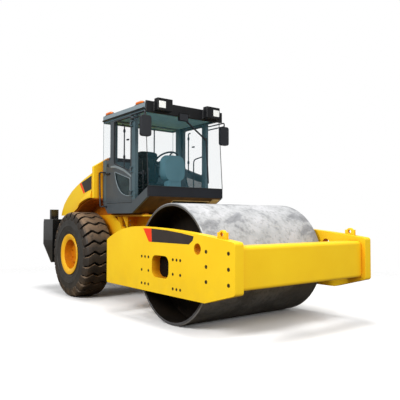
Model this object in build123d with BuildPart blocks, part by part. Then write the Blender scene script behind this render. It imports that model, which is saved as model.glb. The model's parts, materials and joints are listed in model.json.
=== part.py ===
"""Single-drum road roller: a front frame that carries the smooth drum, a rear
frame that carries the engine, cab and two drive wheels, and the hitch between.

X points forward, Y to the machine's left and Z up, in millimetres. The origin
lies on the floor, midway along the machine and on its centre line.
"""
from build123d import *
from math import atan2, cos, degrees, hypot, pi, radians, sin, tan
import os

os.makedirs("parts", exist_ok=True)

# ---------------------------------------------------------------- driving sizes
WHEELBASE = 3060            # drum axis to rear axle
FRONT_REACH = 1475          # drum axis to the front end of the side plates
REAR_OVERHANG = 1395        # rear axle to the back of the counterweight

DRUM_DIAMETER = 1600
DRUM_WIDTH = 2100
DRUM_SHELL = 40             # thickness of the rolled shell
DRUM_RECESS = 380           # depth of each open end, down to the end disc
DRUM_DISC = 30              # thickness of an end disc
SHAFT_RADIUS = 110          # stub shaft that the drum turns on
SHAFT_CLEARANCE = 0.08      # radial running clearance of every pin and shaft
RUNNING_GAP = 8             # smallest gap kept round moving pieces

TYRE_DIAMETER = 1510
TYRE_SECTION = 524
TREAD_WIDTH = 450
RIM_BEAD_RADIUS = 317
RIM_FLANGE_RADIUS = 360
RIM_FLANGE = 20             # width of a rim flange
RIM_DISC = 25
RIM_DISC_OUT = 70           # wheel disc, outboard of the tyre's middle plane
RIM_SHEET = 17
RIM_DISH_RADIUS = 258       # mouth of the dish that leads in to the wheel disc
RIM_DISH_STEP = 25          # mouth of the dish, inboard of the rim's outer face
LUG_COUNT = 25              # lugs round each tyre
LUG_DEPTH = 28
LUG_GROOVE = 46
WHEEL_TRACK = 1800          # between the tyres' middle planes
HUB_PILOT_RADIUS = 140
HUB_RADIUS = 170

PLATE_INNER_Y = 1115        # inside face of a front side plate, from the centre line
PLATE_THICKNESS = 129
PLATE_BOTTOM_Z = 432
PLATE_CREST_Z = 1283
PLATE_REAR_TOP_Z = 1078
PLATE_FRONT_TOP_Z = 1137
PLATE_FRONT_BOTTOM_Z = 575
CREST_OFFSET = 421          # crest of the plate, behind the drum axis
CHIN_OFFSET = 961           # start of the raised nose, ahead of the drum axis
SLOT_LENGTH = 390
SLOT_HEIGHT = 284
SLOT_CORNER = 92
SLOT_AHEAD = 40             # slot centre, ahead of and below the drum axis
SLOT_BELOW = 25
PORT_DIAMETER = 130
PORT_AHEAD = 824
PORT_Z = 1040

BEAM_DEPTH = 240            # front cross beam, along X
BEAM_SETBACK = 60           # its front face, behind the plates' front ends
BEAM_BOTTOM_Z = 601
BEAM_TOP_Z = 1090
BEAM_ROUND = 45
REAR_BEAM_DEPTH = 250
REAR_BEAM_BOTTOM_Z = 500
REAR_BEAM_TOP_Z = 1020
LUG_AHEAD = 1200            # lifting eye, ahead of the drum axis
LUG_HEIGHT = 105
LUG_WIDTH = 150
LUG_THICKNESS = 40
LUG_EYE_RADIUS = 25

HITCH_Z = 760               # height of the hitch's rolling axis
HITCH_GAP = 110             # steering pivot to the back of the front frame
YOKE_RADIUS = 95
YOKE_PIN_RADIUS = 50
ROLL_PIN_RADIUS = 90
EAR_THICKNESS = 50
EAR_INNER_HALF = 200        # half the height between the two hitch ears
EAR_RADIUS = 100

FRAME_OUTER_Y = 580         # outside of the rear frame's side plates
FRAME_PLATE = 40
FRAME_TOP_Z = 1455
FRAME_TAIL_Z = 1360         # lowered top behind the engine, under the hood's rear end
FRAME_TAIL_BOTTOM_Z = 750
FRAME_BOTTOM_Z = 500
AXLE_SEAT_Z = 980           # underside of the frame over the rear axle
WEB_OUTER_Y = 180           # the narrow webs that reach forward to the hitch
WEB_PLATE = 30
DECK_PLATE = 25

CYLINDER_Z = 700
CYLINDER_TAIL_BACK = 800    # tail pin, behind the steering pivot
CYLINDER_TAIL_Y = 400
CYLINDER_EYE_AHEAD = 30     # rod eye, ahead of the steering pivot
CYLINDER_EYE_Y = 270
CYLINDER_RADIUS = 55
CYLINDER_LENGTH = 600       # tail pin to the gland's face
BARREL_START = 65           # tail pin to the barrel's end cap
CYLINDER_PIN_RADIUS = 25
ROD_RADIUS = 28
ROD_INNER_END = 400         # rod's inner end from the tail pin, at mid stroke
EYE_RADIUS = 50
EYE_HALF_HEIGHT = 30

WEIGHT_LENGTH = 490
WEIGHT_HALF_WIDTH = 1100
WEIGHT_TOP_Z = 1378
WEIGHT_BOTTOM_Z = 545
WEIGHT_CHAMFER_Z = 883

CAB_REAR_AHEAD = 515        # rear face of the cab, ahead of the rear axle
CAB_LENGTH = 1494           # rear face to the front skirt
CAB_HALF_WIDTH = 750
CAB_PAD_RADIUS = 60
CAB_PAD_Y = 450
CAB_BOTTOM_Z = 1477
CAB_EAVES_Z = 3100          # top of the cab frame, underside of the roof
CAB_WALL = 38               # thickness of a door and of the fixed side panels
CAB_TAIL_START = 184        # where the underside's rear chamfer ends, from the rear face
CAB_NOSE_START = 1014       # where the underside starts to rise, from the rear face
SKIRT_BOTTOM_Z = 1738
SKIRT_TOP_Z = 1892
SKIRT_THICKNESS = 24
FLOOR_THICKNESS = 60
SILL_TOP_Z = 1649           # lower edge of the door opening
TUB_REAR_Z = 1704           # top of the floor tub at its back
REAR_WALL = 40
PILLAR_FOOT_Z = 1700
WAIST_Z = 2410              # lower edge of the rear windows
GLASS = 8
SCREEN_LEAN = 99            # the windscreen's top, behind its foot
PILLAR_START = 1000         # front pillar, from the cab's rear face
PILLAR_WIDTH = 100
RAIL_DEPTH = 30             # roof rails, in height
POST_SIZE = 60

DOOR_FRONT = 994            # door edges, from the cab's rear face
DOOR_REAR_LOW = 130
DOOR_REAR_HIGH = 262
DOOR_GAP = 6
DOOR_TOP_Z = CAB_EAVES_Z - RAIL_DEPTH - DOOR_GAP
DOOR_HINGE_OUT = 18         # door hinge axis, outside the cab's side and behind the pillar
DOOR_HINGE_BACK = 3
DOOR_HINGES_Z = (1800, 2180, 2920)
DOOR_PIN_RADIUS = 6
KNUCKLE_RADIUS = 12
KNUCKLE_HALF = 24
HINGE_LEAF = 12

ROOF_OVERHANG = 20
ROOF_EDGE = 90
ROOF_CROWN = 60
ROOF_INSET = 55
ROOF_LEDGE = 90             # flat margin round the roof's crown
ROOF_NOSE = 35              # roof's front edge, ahead of the windscreen's top

HOOD_HALF_WIDTH = 930
HOOD_SHEET = 20
HOOD_SHOULDER_Y = 640       # where the sloped shoulder meets the flat top
HOOD_SHOULDER_DROP = 110
HOOD_HINGE_BACK = 800       # hood's hinge axis, behind the rear axle
HOOD_HINGE_Z = 1440
HOOD_HINGE_Y = 300
HOOD_HINGE_LUG = 30         # thickness of the frame's lug; the hood has one each side of it
HOOD_PIN_RADIUS = 15
HOOD_LUG_RADIUS = 22
HOOD_LUG_REACH = 50         # from the pin back to the hood's rear wall
BULKHEAD_THICKNESS = 60
BULKHEAD_GAP = 10           # between the cab's rear face and the bulkhead
BULKHEAD_TOP_Z = WAIST_Z + 65
BULKHEAD_SIDE_Z = WAIST_Z - 106
FENDER_TOP_Z = 1750
BULKHEAD_FOOT_Z = FENDER_TOP_Z
FENDER_SHEET = 18

# ------------------------------------------------------------- derived stations
DRUM_RADIUS = DRUM_DIAMETER / 2
TYRE_RADIUS = TYRE_DIAMETER / 2
DRUM_X = (WHEELBASE + REAR_OVERHANG - FRONT_REACH) / 2
AXLE_X = DRUM_X - WHEELBASE
PIVOT_X = DRUM_X - WHEELBASE / 2
FRONT_X = DRUM_X + FRONT_REACH
REAR_X = AXLE_X - REAR_OVERHANG
PLATE_OUTER_Y = PLATE_INNER_Y + PLATE_THICKNESS
PLATE_REAR_X = PIVOT_X + HITCH_GAP
REAR_BEAM_X = PLATE_REAR_X + REAR_BEAM_DEPTH
BEAM_FRONT_X = FRONT_X - BEAM_SETBACK
BEAM_REAR_X = BEAM_FRONT_X - BEAM_DEPTH
CAB_X = AXLE_X + CAB_REAR_AHEAD
CAB_FRONT_X = CAB_X + CAB_LENGTH
WEIGHT_X = REAR_X + WEIGHT_LENGTH
WHEEL_Y = WHEEL_TRACK / 2
BULKHEAD_X = CAB_X - BULKHEAD_GAP
HOOD_FRONT_X = BULKHEAD_X - BULKHEAD_THICKNESS - RUNNING_GAP
HOOD_HINGE_X = AXLE_X - HOOD_HINGE_BACK
DOOR_HINGE_X = CAB_X + DOOR_FRONT + DOOR_HINGE_BACK
DOOR_HINGE_Y = CAB_HALF_WIDTH + DOOR_HINGE_OUT
FRAME_INNER_Y = FRAME_OUTER_Y - FRAME_PLATE


def side_plane(y):
    """A sketch plane at Y = y: its own x is X, its own y is Z, and it extrudes towards -Y."""
    return Plane(origin=(0, y, 0), x_dir=(1, 0, 0), z_dir=(0, -1, 0))


def cross_plane(x):
    """A sketch plane at X = x: its own x is Y, its own y is Z, and it extrudes towards +X."""
    return Plane(origin=(x, 0, 0), x_dir=(0, 1, 0), z_dir=(1, 0, 0))


def save(piece, name):
    """Label a finished piece and write it as its own STEP file."""
    piece.label = name
    export_step(piece, f"parts/{name}.step")


def save_pair(right_piece, name):
    """Write a piece of the right-hand side (-Y) and its mirror image on the left."""
    save(right_piece, f"{name}_right")
    save(mirror(right_piece, about=Plane.XZ), f"{name}_left")


# ------------------------------------------------------------------ front frame
with BuildPart() as side_plate:
    with BuildSketch(side_plane(-PLATE_INNER_Y)) as plate_outline:
        with BuildLine():
            rear_top = (PLATE_REAR_X, PLATE_REAR_TOP_Z)
            crest = (DRUM_X - CREST_OFFSET, PLATE_CREST_Z)
            front_top = (FRONT_X, PLATE_FRONT_TOP_Z)
            SagittaArc(rear_top, crest, 64)
            SagittaArc(crest, front_top, 28)
            Polyline(
                front_top,
                (FRONT_X, PLATE_FRONT_BOTTOM_Z),
                (DRUM_X + CHIN_OFFSET, PLATE_BOTTOM_Z),
                (PLATE_REAR_X, PLATE_BOTTOM_Z),
                rear_top,
            )
        make_face()
        corners = plate_outline.vertices().sort_by(Axis.X)
        fillet(corners[:2] + corners[-2:], radius=40)
        with Locations((DRUM_X + SLOT_AHEAD, DRUM_RADIUS - SLOT_BELOW)):
            RectangleRounded(SLOT_LENGTH, SLOT_HEIGHT, SLOT_CORNER, mode=Mode.SUBTRACT)
        with Locations((DRUM_X + PORT_AHEAD, PORT_Z)):
            Circle(PORT_DIAMETER / 2, mode=Mode.SUBTRACT)
    extrude(amount=PLATE_THICKNESS)
    # Lifting lug, welded on the plate's top edge
    LUG_X = DRUM_X + LUG_AHEAD
    LUG_EYE_Z = PLATE_FRONT_TOP_Z + LUG_HEIGHT - LUG_EYE_RADIUS
    with BuildSketch(side_plane(-PLATE_INNER_Y - LUG_THICKNESS)):
        with Locations((LUG_X, PLATE_FRONT_TOP_Z)):
            Rectangle(LUG_WIDTH, LUG_HEIGHT, align=(Align.CENTER, Align.MIN))
        with Locations((LUG_X, LUG_EYE_Z)):
            Circle(2 * LUG_EYE_RADIUS)
            Circle(LUG_EYE_RADIUS, mode=Mode.SUBTRACT)
    extrude(amount=LUG_THICKNESS)
save_pair(side_plate.part, "side_plate")

with BuildPart() as front_beam:
    with BuildSketch(side_plane(PLATE_INNER_Y)):
        with Locations((BEAM_REAR_X, BEAM_BOTTOM_Z)):
            Rectangle(BEAM_DEPTH, BEAM_TOP_Z - BEAM_BOTTOM_Z, align=(Align.MIN, Align.MIN))
    extrude(amount=2 * PLATE_INNER_Y)
    fillet(front_beam.edges().filter_by(Axis.Y).group_by(Axis.X)[-1], radius=BEAM_ROUND)
save(front_beam.part, "front_beam")

with BuildPart() as rear_beam:
    with BuildSketch(side_plane(PLATE_INNER_Y)):
        with Locations((PLATE_REAR_X, REAR_BEAM_BOTTOM_Z)):
            Rectangle(REAR_BEAM_DEPTH, REAR_BEAM_TOP_Z - REAR_BEAM_BOTTOM_Z,
                      align=(Align.MIN, Align.MIN))
    extrude(amount=2 * PLATE_INNER_Y)
    # Bore for the hitch's rolling pin
    with BuildSketch(cross_plane(PLATE_REAR_X)):
        with Locations((0, HITCH_Z)):
            Circle(ROLL_PIN_RADIUS + SHAFT_CLEARANCE)
    extrude(amount=REAR_BEAM_DEPTH, mode=Mode.SUBTRACT)
save(rear_beam.part, "rear_beam")

# Scrapers: a blade close to the drum, on three arms from each cross beam
SCRAPER_Z = 700
SCRAPER_THICKNESS = 25
SCRAPER_BLADE = 110
SCRAPER_HALF_WIDTH = 1000
SCRAPER_ARM = 60
SCRAPER_REACH = DRUM_RADIUS + RUNNING_GAP
with BuildPart() as scrapers:
    for direction, beam_face in ((1, BEAM_REAR_X - DRUM_X), (-1, DRUM_X - REAR_BEAM_X)):
        blade_x = DRUM_X + direction * SCRAPER_REACH
        arm_length = beam_face - SCRAPER_REACH
        edge = Align.MIN if direction > 0 else Align.MAX
        with Locations((blade_x, 0, SCRAPER_Z)):
            Box(SCRAPER_BLADE, 2 * SCRAPER_HALF_WIDTH, SCRAPER_THICKNESS,
                align=(edge, Align.CENTER, Align.CENTER))
            with GridLocations(1, SCRAPER_HALF_WIDTH * 0.8, 1, 3):
                Box(arm_length, SCRAPER_ARM, SCRAPER_THICKNESS,
                    align=(edge, Align.CENTER, Align.CENTER))
save(scrapers.part, "scrapers")

# Drum suspension, from the side plate inwards: bracket, rubber mounts, carrier
BRACKET_LENGTH = 1040
BRACKET_HEIGHT = 430
BRACKET_Z = 706
BRACKET_THICKNESS = 50
SUPPORT_RADIUS = 330
SUPPORT_REACH = 95          # support disc, inwards from the bracket
MOUNT_LENGTH = 90
MOUNT_RADIUS = 70
MOUNT_CIRCLE = 240
MOUNT_COUNT = 6
CARRIER_DISC = 35
BRACKET_FACE_Y = PLATE_INNER_Y - BRACKET_THICKNESS
SUPPORT_FACE_Y = BRACKET_FACE_Y - SUPPORT_REACH
CARRIER_FACE_Y = SUPPORT_FACE_Y - MOUNT_LENGTH
DISC_FACE_Y = DRUM_WIDTH / 2 - DRUM_RECESS

with BuildPart() as drum_supports:
    with BuildSketch(side_plane(-BRACKET_FACE_Y)):
        with Locations((DRUM_X + SLOT_AHEAD, BRACKET_Z)):
            RectangleRounded(BRACKET_LENGTH, BRACKET_HEIGHT, 60)
    extrude(amount=BRACKET_THICKNESS)
    with BuildSketch(side_plane(-SUPPORT_FACE_Y)):
        with Locations((DRUM_X, DRUM_RADIUS)):
            Circle(SUPPORT_RADIUS)
    extrude(amount=SUPPORT_REACH)
    mirror(about=Plane.XZ)
save(drum_supports.part, "drum_supports")

with BuildPart() as rubber_mounts:
    with BuildSketch(side_plane(-CARRIER_FACE_Y)):
        with Locations((DRUM_X, DRUM_RADIUS)):
            with PolarLocations(MOUNT_CIRCLE, MOUNT_COUNT):
                Circle(MOUNT_RADIUS)
    extrude(amount=MOUNT_LENGTH)
    mirror(about=Plane.XZ)
save(rubber_mounts.part, "rubber_mounts")

with BuildPart() as drum_carriers:
    with BuildSketch(side_plane(-CARRIER_FACE_Y + CARRIER_DISC)):
        with Locations((DRUM_X, DRUM_RADIUS)):
            Circle(SUPPORT_RADIUS)
    extrude(amount=CARRIER_DISC)
    with BuildSketch(side_plane(-DISC_FACE_Y + DRUM_DISC)):
        with Locations((DRUM_X, DRUM_RADIUS)):
            Circle(SHAFT_RADIUS)
    extrude(amount=CARRIER_FACE_Y - CARRIER_DISC - DISC_FACE_Y + DRUM_DISC)
    mirror(about=Plane.XZ)
save(drum_carriers.part, "drum_carriers")

# ------------------------------------------------------------------------- drum
with BuildPart() as drum:
    with BuildSketch(cross_plane(DRUM_X)):
        with Locations((0, DRUM_DIAMETER - DRUM_SHELL)):
            Rectangle(DRUM_WIDTH, DRUM_SHELL, align=(Align.CENTER, Align.MIN))
        for side in (-1, 1):
            disc_inner = DISC_FACE_Y - DRUM_DISC
            with Locations((side * (disc_inner + DRUM_DISC / 2),
                            DRUM_RADIUS + SHAFT_RADIUS + SHAFT_CLEARANCE)):
                Rectangle(DRUM_DISC, DRUM_RADIUS - DRUM_SHELL - SHAFT_RADIUS - SHAFT_CLEARANCE,
                          align=(Align.CENTER, Align.MIN))
    revolve(axis=Axis((DRUM_X, 0, DRUM_RADIUS), (0, 1, 0)))
save(drum.part, "drum")

# ------------------------------------------------------------------------ hitch
EYE_TOP_Z = CYLINDER_Z + EYE_HALF_HEIGHT
ARM_BOTTOM_Z = EYE_TOP_Z + 5
ARM_THICKNESS = 40
with BuildPart() as hitch_yoke:
    with Locations((PIVOT_X, 0, HITCH_Z)):
        Cylinder(YOKE_RADIUS, 2 * (EAR_INNER_HALF - 5))
        Cylinder(YOKE_PIN_RADIUS, 2 * (EAR_INNER_HALF + EAR_THICKNESS))
    with BuildSketch(cross_plane(PIVOT_X)):
        with Locations((0, HITCH_Z)):
            Circle(ROLL_PIN_RADIUS)
    extrude(amount=HITCH_GAP + REAR_BEAM_DEPTH)
    # Steering arms, over the rod eyes
    with BuildSketch(Plane.XY.offset(ARM_BOTTOM_Z)):
        with Locations((PIVOT_X + CYLINDER_EYE_AHEAD, 0)):
            SlotOverall(2 * (CYLINDER_EYE_Y + EYE_RADIUS), 2 * EYE_RADIUS, rotation=90)
    extrude(amount=ARM_THICKNESS)
save(hitch_yoke.part, "hitch_yoke")

# ------------------------------------------------------------- steering cylinders
tail = Vector(PIVOT_X - CYLINDER_TAIL_BACK, -CYLINDER_TAIL_Y, CYLINDER_Z)
eye = Vector(PIVOT_X + CYLINDER_EYE_AHEAD, -CYLINDER_EYE_Y, CYLINDER_Z)
stroke_line = eye - tail
cylinder_axis = stroke_line.normalized()
cylinder_reach = stroke_line.length

with BuildPart() as steer_barrel:
    with BuildSketch(Plane(origin=tail + cylinder_axis * BARREL_START, z_dir=cylinder_axis)):
        Circle(CYLINDER_RADIUS)
    extrude(amount=CYLINDER_LENGTH - BARREL_START)
    with BuildSketch(Plane(origin=tail, z_dir=cylinder_axis)):
        Circle(ROD_RADIUS)
    extrude(amount=BARREL_START)
    with Locations(tail):
        Cylinder(EYE_RADIUS, 2 * EYE_HALF_HEIGHT)
        Cylinder(CYLINDER_PIN_RADIUS + SHAFT_CLEARANCE, 4 * EYE_HALF_HEIGHT, mode=Mode.SUBTRACT)
    with BuildSketch(Plane(origin=tail + cylinder_axis * ROD_INNER_END * 0.5,
                           z_dir=cylinder_axis)):
        Circle(ROD_RADIUS + SHAFT_CLEARANCE)
    extrude(amount=CYLINDER_LENGTH, mode=Mode.SUBTRACT)
save_pair(steer_barrel.part, "steer_barrel")

with BuildPart() as steer_rod:
    with BuildSketch(Plane(origin=tail + cylinder_axis * ROD_INNER_END, z_dir=cylinder_axis)):
        Circle(ROD_RADIUS)
    extrude(amount=cylinder_reach - ROD_INNER_END)
    with Locations(eye):
        Cylinder(EYE_RADIUS, 2 * EYE_HALF_HEIGHT)
save_pair(steer_rod.part, "steer_rod")

# ------------------------------------------------------------------- rear frame
TAIL_BRACKET = 100          # bulkhead to the end of a cylinder's tail bracket
BULKHEAD_FACE_X = PIVOT_X - CYLINDER_TAIL_BACK - 70
GUSSET_X = PIVOT_X - 490
GUSSET_TOP_Z = 1180
WEB_FRONT_X = PIVOT_X - 270
DECK_FRONT_X = PIVOT_X + 70
DECK_POST_Z = 1150          # underside of the deck's webs, over the front frame
with BuildPart() as rear_frame:
    # Side plates, sloped down to the hitch and arched over the axle
    with BuildSketch(side_plane(-FRAME_INNER_Y)):
        with BuildLine():
            Polyline(
                (WEIGHT_X, FRAME_TAIL_Z),
                (AXLE_X - 700, FRAME_TAIL_Z),
                (AXLE_X - 600, FRAME_TOP_Z),
                (CAB_X + 90, FRAME_TOP_Z),
                (GUSSET_X, GUSSET_TOP_Z),
                (GUSSET_X, FRAME_BOTTOM_Z),
                (AXLE_X + 615, FRAME_BOTTOM_Z),
                (AXLE_X + 345, AXLE_SEAT_Z),
                (AXLE_X - 355, AXLE_SEAT_Z),
                (AXLE_X - 535, FRAME_TAIL_BOTTOM_Z),
                (WEIGHT_X, FRAME_TAIL_BOTTOM_Z),
                close=True,
            )
        make_face()
    extrude(amount=FRAME_PLATE)
    # Narrow webs, from the bulkhead to the hitch and up to the deck
    with BuildSketch(side_plane(-WEB_OUTER_Y + WEB_PLATE)):
        with BuildLine():
            Polyline(
                (BULKHEAD_FACE_X, FRAME_TOP_Z),
                (DECK_FRONT_X, FRAME_TOP_Z),
                (DECK_FRONT_X, DECK_POST_Z),
                (WEB_FRONT_X, DECK_POST_Z),
                (WEB_FRONT_X, FRAME_BOTTOM_Z),
                (BULKHEAD_FACE_X, FRAME_BOTTOM_Z),
                close=True,
            )
        make_face()
    extrude(amount=WEB_PLATE)
    mirror(about=Plane.XZ)
    # Deck under the cab, bulkhead, axle seat and rear cross plate
    for x0, x1, half_y, z0, z1 in (
        (CAB_X + 40, DECK_FRONT_X, FRAME_OUTER_Y, FRAME_TOP_Z - DECK_PLATE, FRAME_TOP_Z),
        (BULKHEAD_FACE_X - FRAME_PLATE, BULKHEAD_FACE_X, FRAME_INNER_Y, FRAME_BOTTOM_Z,
         FRAME_TOP_Z - DECK_PLATE),
        (AXLE_X - 355, AXLE_X + 345, FRAME_INNER_Y, AXLE_SEAT_Z, AXLE_SEAT_Z + FRAME_PLATE),
        (WEIGHT_X, WEIGHT_X + FRAME_PLATE, FRAME_INNER_Y, FRAME_TAIL_BOTTOM_Z, FRAME_TAIL_Z),
    ):
        with Locations(((x0 + x1) / 2, 0, (z0 + z1) / 2)):
            Box(x1 - x0, 2 * half_y, z1 - z0)
    # Rubber pads that carry the cab
    with Locations(((CAB_X + CAB_TAIL_START + CAB_X + CAB_NOSE_START) / 2, 0, FRAME_TOP_Z)):
        with GridLocations(CAB_NOSE_START - CAB_TAIL_START - 160, 2 * CAB_PAD_Y, 2, 2):
            Cylinder(CAB_PAD_RADIUS, CAB_BOTTOM_Z - FRAME_TOP_Z,
                     align=(Align.CENTER, Align.CENTER, Align.MIN))
    # Hitch ears, above and below the yoke
    for ear_z in (HITCH_Z + EAR_INNER_HALF, HITCH_Z - EAR_INNER_HALF - EAR_THICKNESS):
        with BuildSketch(Plane.XY.offset(ear_z)):
            with BuildLine():
                Polyline(
                    (WEB_FRONT_X - 60, WEB_OUTER_Y), (WEB_FRONT_X, WEB_OUTER_Y),
                    (PIVOT_X, EAR_RADIUS), (PIVOT_X, -EAR_RADIUS),
                    (WEB_FRONT_X, -WEB_OUTER_Y), (WEB_FRONT_X - 60, -WEB_OUTER_Y), close=True,
                )
            make_face()
            with Locations((PIVOT_X, 0)):
                Circle(EAR_RADIUS)
                Circle(YOKE_PIN_RADIUS + SHAFT_CLEARANCE, mode=Mode.SUBTRACT)
        extrude(amount=EAR_THICKNESS)
    # Lugs and pins that the hood swings on
    for side in (-1, 1):
        with BuildSketch(side_plane(side * HOOD_HINGE_Y + HOOD_HINGE_LUG / 2)):
            with Locations((HOOD_HINGE_X, HOOD_HINGE_Z)):
                Circle(2 * HOOD_PIN_RADIUS)
            with Locations((HOOD_HINGE_X, HOOD_HINGE_Z)):
                Rectangle(3 * HOOD_PIN_RADIUS, HOOD_HINGE_Z - FRAME_TAIL_Z + 60,
                          align=(Align.CENTER, Align.MAX))
        extrude(amount=HOOD_HINGE_LUG)
        with BuildSketch(side_plane(side * HOOD_HINGE_Y + HOOD_HINGE_LUG + 15)):
            with Locations((HOOD_HINGE_X, HOOD_HINGE_Z)):
                Circle(HOOD_PIN_RADIUS)
        extrude(amount=2 * HOOD_HINGE_LUG + 30)
    with Locations((HOOD_HINGE_X, 0, FRAME_TAIL_Z - 60)):
        Box(4 * HOOD_PIN_RADIUS, 2 * FRAME_INNER_Y, 40, align=(Align.CENTER, Align.CENTER, Align.MIN))
    # Brackets and pins for the cylinder tails
    for side in (-1, 1):
        for z0 in (CYLINDER_Z + EYE_HALF_HEIGHT + 5, CYLINDER_Z - EYE_HALF_HEIGHT - 30):
            with Locations((BULKHEAD_FACE_X, side * CYLINDER_TAIL_Y, z0)):
                Box(TAIL_BRACKET, 90, 25, align=(Align.MIN, Align.CENTER, Align.MIN))
        with Locations((PIVOT_X - CYLINDER_TAIL_BACK, side * CYLINDER_TAIL_Y, CYLINDER_Z)):
            Cylinder(CYLINDER_PIN_RADIUS, 2 * EYE_HALF_HEIGHT + 40)
save(rear_frame.part, "rear_frame")

with BuildPart() as rear_axle:
    disc_back_y = WHEEL_Y + RIM_DISC_OUT - RIM_DISC / 2
    with BuildSketch(cross_plane(AXLE_X)):
        with BuildLine():
            Polyline(
                (0, TYRE_RADIUS), (0, TYRE_RADIUS + 215), (130, TYRE_RADIUS + 215),
                (300, TYRE_RADIUS + 125), (590, TYRE_RADIUS + 110),
                (590, TYRE_RADIUS + HUB_RADIUS), (disc_back_y - 5, TYRE_RADIUS + HUB_RADIUS),
                (disc_back_y - 5, TYRE_RADIUS + HUB_PILOT_RADIUS),
                (disc_back_y + RIM_DISC, TYRE_RADIUS + HUB_PILOT_RADIUS),
                (disc_back_y + RIM_DISC, TYRE_RADIUS), close=True,
            )
        make_face()
    revolve(axis=Axis((AXLE_X, 0, TYRE_RADIUS), (0, 1, 0)))
    with Locations((AXLE_X, 430, TYRE_RADIUS)):
        Box(240, 140, AXLE_SEAT_Z - TYRE_RADIUS, align=(Align.CENTER, Align.CENTER, Align.MIN))
    mirror(about=Plane.XZ)
save(rear_axle.part, "rear_axle")

with BuildPart() as engine_block:
    with Locations((AXLE_X - 60, 0, AXLE_SEAT_Z + FRAME_PLATE)):
        Box(850, 660, 700, align=(Align.CENTER, Align.CENTER, Align.MIN))
save(engine_block.part, "engine_block")

LAMP_POST = 75
TOW_RECESS = 160
TOW_Z = 1120
TOW_PIN_RADIUS = 20
with BuildPart() as counterweight:
    with BuildSketch(side_plane(WEIGHT_HALF_WIDTH)):
        with BuildLine():
            Polyline(
                (REAR_X + 20, WEIGHT_TOP_Z), (WEIGHT_X, WEIGHT_TOP_Z),
                (WEIGHT_X, WEIGHT_BOTTOM_Z), (WEIGHT_X - 70, WEIGHT_BOTTOM_Z - 8),
                (REAR_X, WEIGHT_CHAMFER_Z), (REAR_X, WEIGHT_TOP_Z - 60), close=True,
            )
        make_face()
    extrude(amount=2 * WEIGHT_HALF_WIDTH)
    # Lamp posts on top, and a towing recess with its pin in the back
    for side in (-1, 1):
        with Locations((REAR_X + 335, side * (WEIGHT_HALF_WIDTH - 90), WEIGHT_TOP_Z)):
            Box(LAMP_POST, 150, 190, align=(Align.CENTER, Align.CENTER, Align.MIN))
    with Locations((REAR_X, 0, TOW_Z)):
        Box(TOW_RECESS, 150, 110, align=(Align.MIN, Align.CENTER, Align.CENTER),
            mode=Mode.SUBTRACT)
    with Locations((REAR_X + TOW_RECESS / 2, 0, WEIGHT_TOP_Z)):
        Cylinder(TOW_PIN_RADIUS, WEIGHT_TOP_Z - TOW_Z + 150,
                 align=(Align.CENTER, Align.CENTER, Align.MAX), mode=Mode.SUBTRACT)
save(counterweight.part, "counterweight")

# ----------------------------------------------------------------------- wheels
with BuildPart() as rim:
    rim_half = TYRE_SECTION / 2 - 10
    disc_face = RIM_DISC_OUT + RIM_DISC / 2
    bore = HUB_PILOT_RADIUS + SHAFT_CLEARANCE
    with BuildSketch(cross_plane(AXLE_X)):
        with Locations((-WHEEL_Y, TYRE_RADIUS + RIM_BEAD_RADIUS - RIM_SHEET)):
            Rectangle(2 * rim_half, RIM_SHEET, align=(Align.CENTER, Align.MIN))
        for side in (-1, 1):
            flange_y = -WHEEL_Y + side * (rim_half - RIM_FLANGE / 2)
            with Locations((flange_y, TYRE_RADIUS + RIM_BEAD_RADIUS - RIM_SHEET)):
                Rectangle(RIM_FLANGE, RIM_FLANGE_RADIUS - RIM_BEAD_RADIUS + RIM_SHEET,
                          align=(Align.CENTER, Align.MIN))
        # Dish: from the outer flange in to its mouth, back to the disc and in to the hub
        with BuildLine():
            dish = (        # outwards from the middle plane, radius
                (rim_half, RIM_BEAD_RADIUS), (rim_half - RIM_DISH_STEP, RIM_DISH_RADIUS),
                (disc_face, RIM_DISH_RADIUS), (disc_face, bore), (disc_face - RIM_DISC, bore),
                (disc_face - RIM_DISC, RIM_DISH_RADIUS + RIM_SHEET),
                (rim_half - RIM_DISH_STEP - RIM_SHEET, RIM_DISH_RADIUS + RIM_SHEET),
                (rim_half - RIM_FLANGE, RIM_BEAD_RADIUS - RIM_SHEET),
                (rim_half - RIM_FLANGE, RIM_BEAD_RADIUS),
            )
            Polyline(*[(-WHEEL_Y - out, TYRE_RADIUS + r) for out, r in dish], close=True)
        make_face()
    revolve(axis=Axis((AXLE_X, 0, TYRE_RADIUS), (0, 1, 0)))
save_pair(rim.part, "rim")

# The carcass has two flat facets for each lug, and every lug has a flat top
LUG_FACE_RADIUS = TYRE_RADIUS - 0.9     # middle of a lug's flat face; its corners stand out more
bead_half = TYRE_SECTION / 2 - 10 - RIM_FLANGE - 0.3
wheel_axis = Axis((AXLE_X, -WHEEL_Y, TYRE_RADIUS), (0, 1, 0))
CARCASS_SECTION = (         # outwards from the middle plane, radius
    (bead_half, RIM_BEAD_RADIUS + 0.3),
    (bead_half, RIM_FLANGE_RADIUS + 5),
    (TYRE_SECTION / 2, 0.66 * TYRE_RADIUS),
    (TYRE_SECTION / 2 - 8, 0.84 * TYRE_RADIUS),
    (TREAD_WIDTH / 2 - 25, LUG_FACE_RADIUS - LUG_DEPTH),
)
LUG_SECTION = (             # outwards from the middle plane, radius
    (TREAD_WIDTH / 2 - 30, LUG_FACE_RADIUS),
    (TREAD_WIDTH / 2 + 10, LUG_FACE_RADIUS - 26),
    (TYRE_SECTION / 2 - 8, 0.84 * TYRE_RADIUS - 8),
)
LUG_WAVE = (                # outwards from the middle plane, forward shift
    (0, 22),
    (0.45 * TREAD_WIDTH / 2, -22),
    (TYRE_SECTION / 2, 62),
)


def both_sides(half_points):
    """A row of (outwards, value) points, from the far side through the middle to the near one."""
    near = [point for point in half_points if point[0] > 0]
    middle = [point for point in half_points if point[0] == 0]
    return [(-y, value) for y, value in reversed(near)] + middle + list(near)


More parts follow.
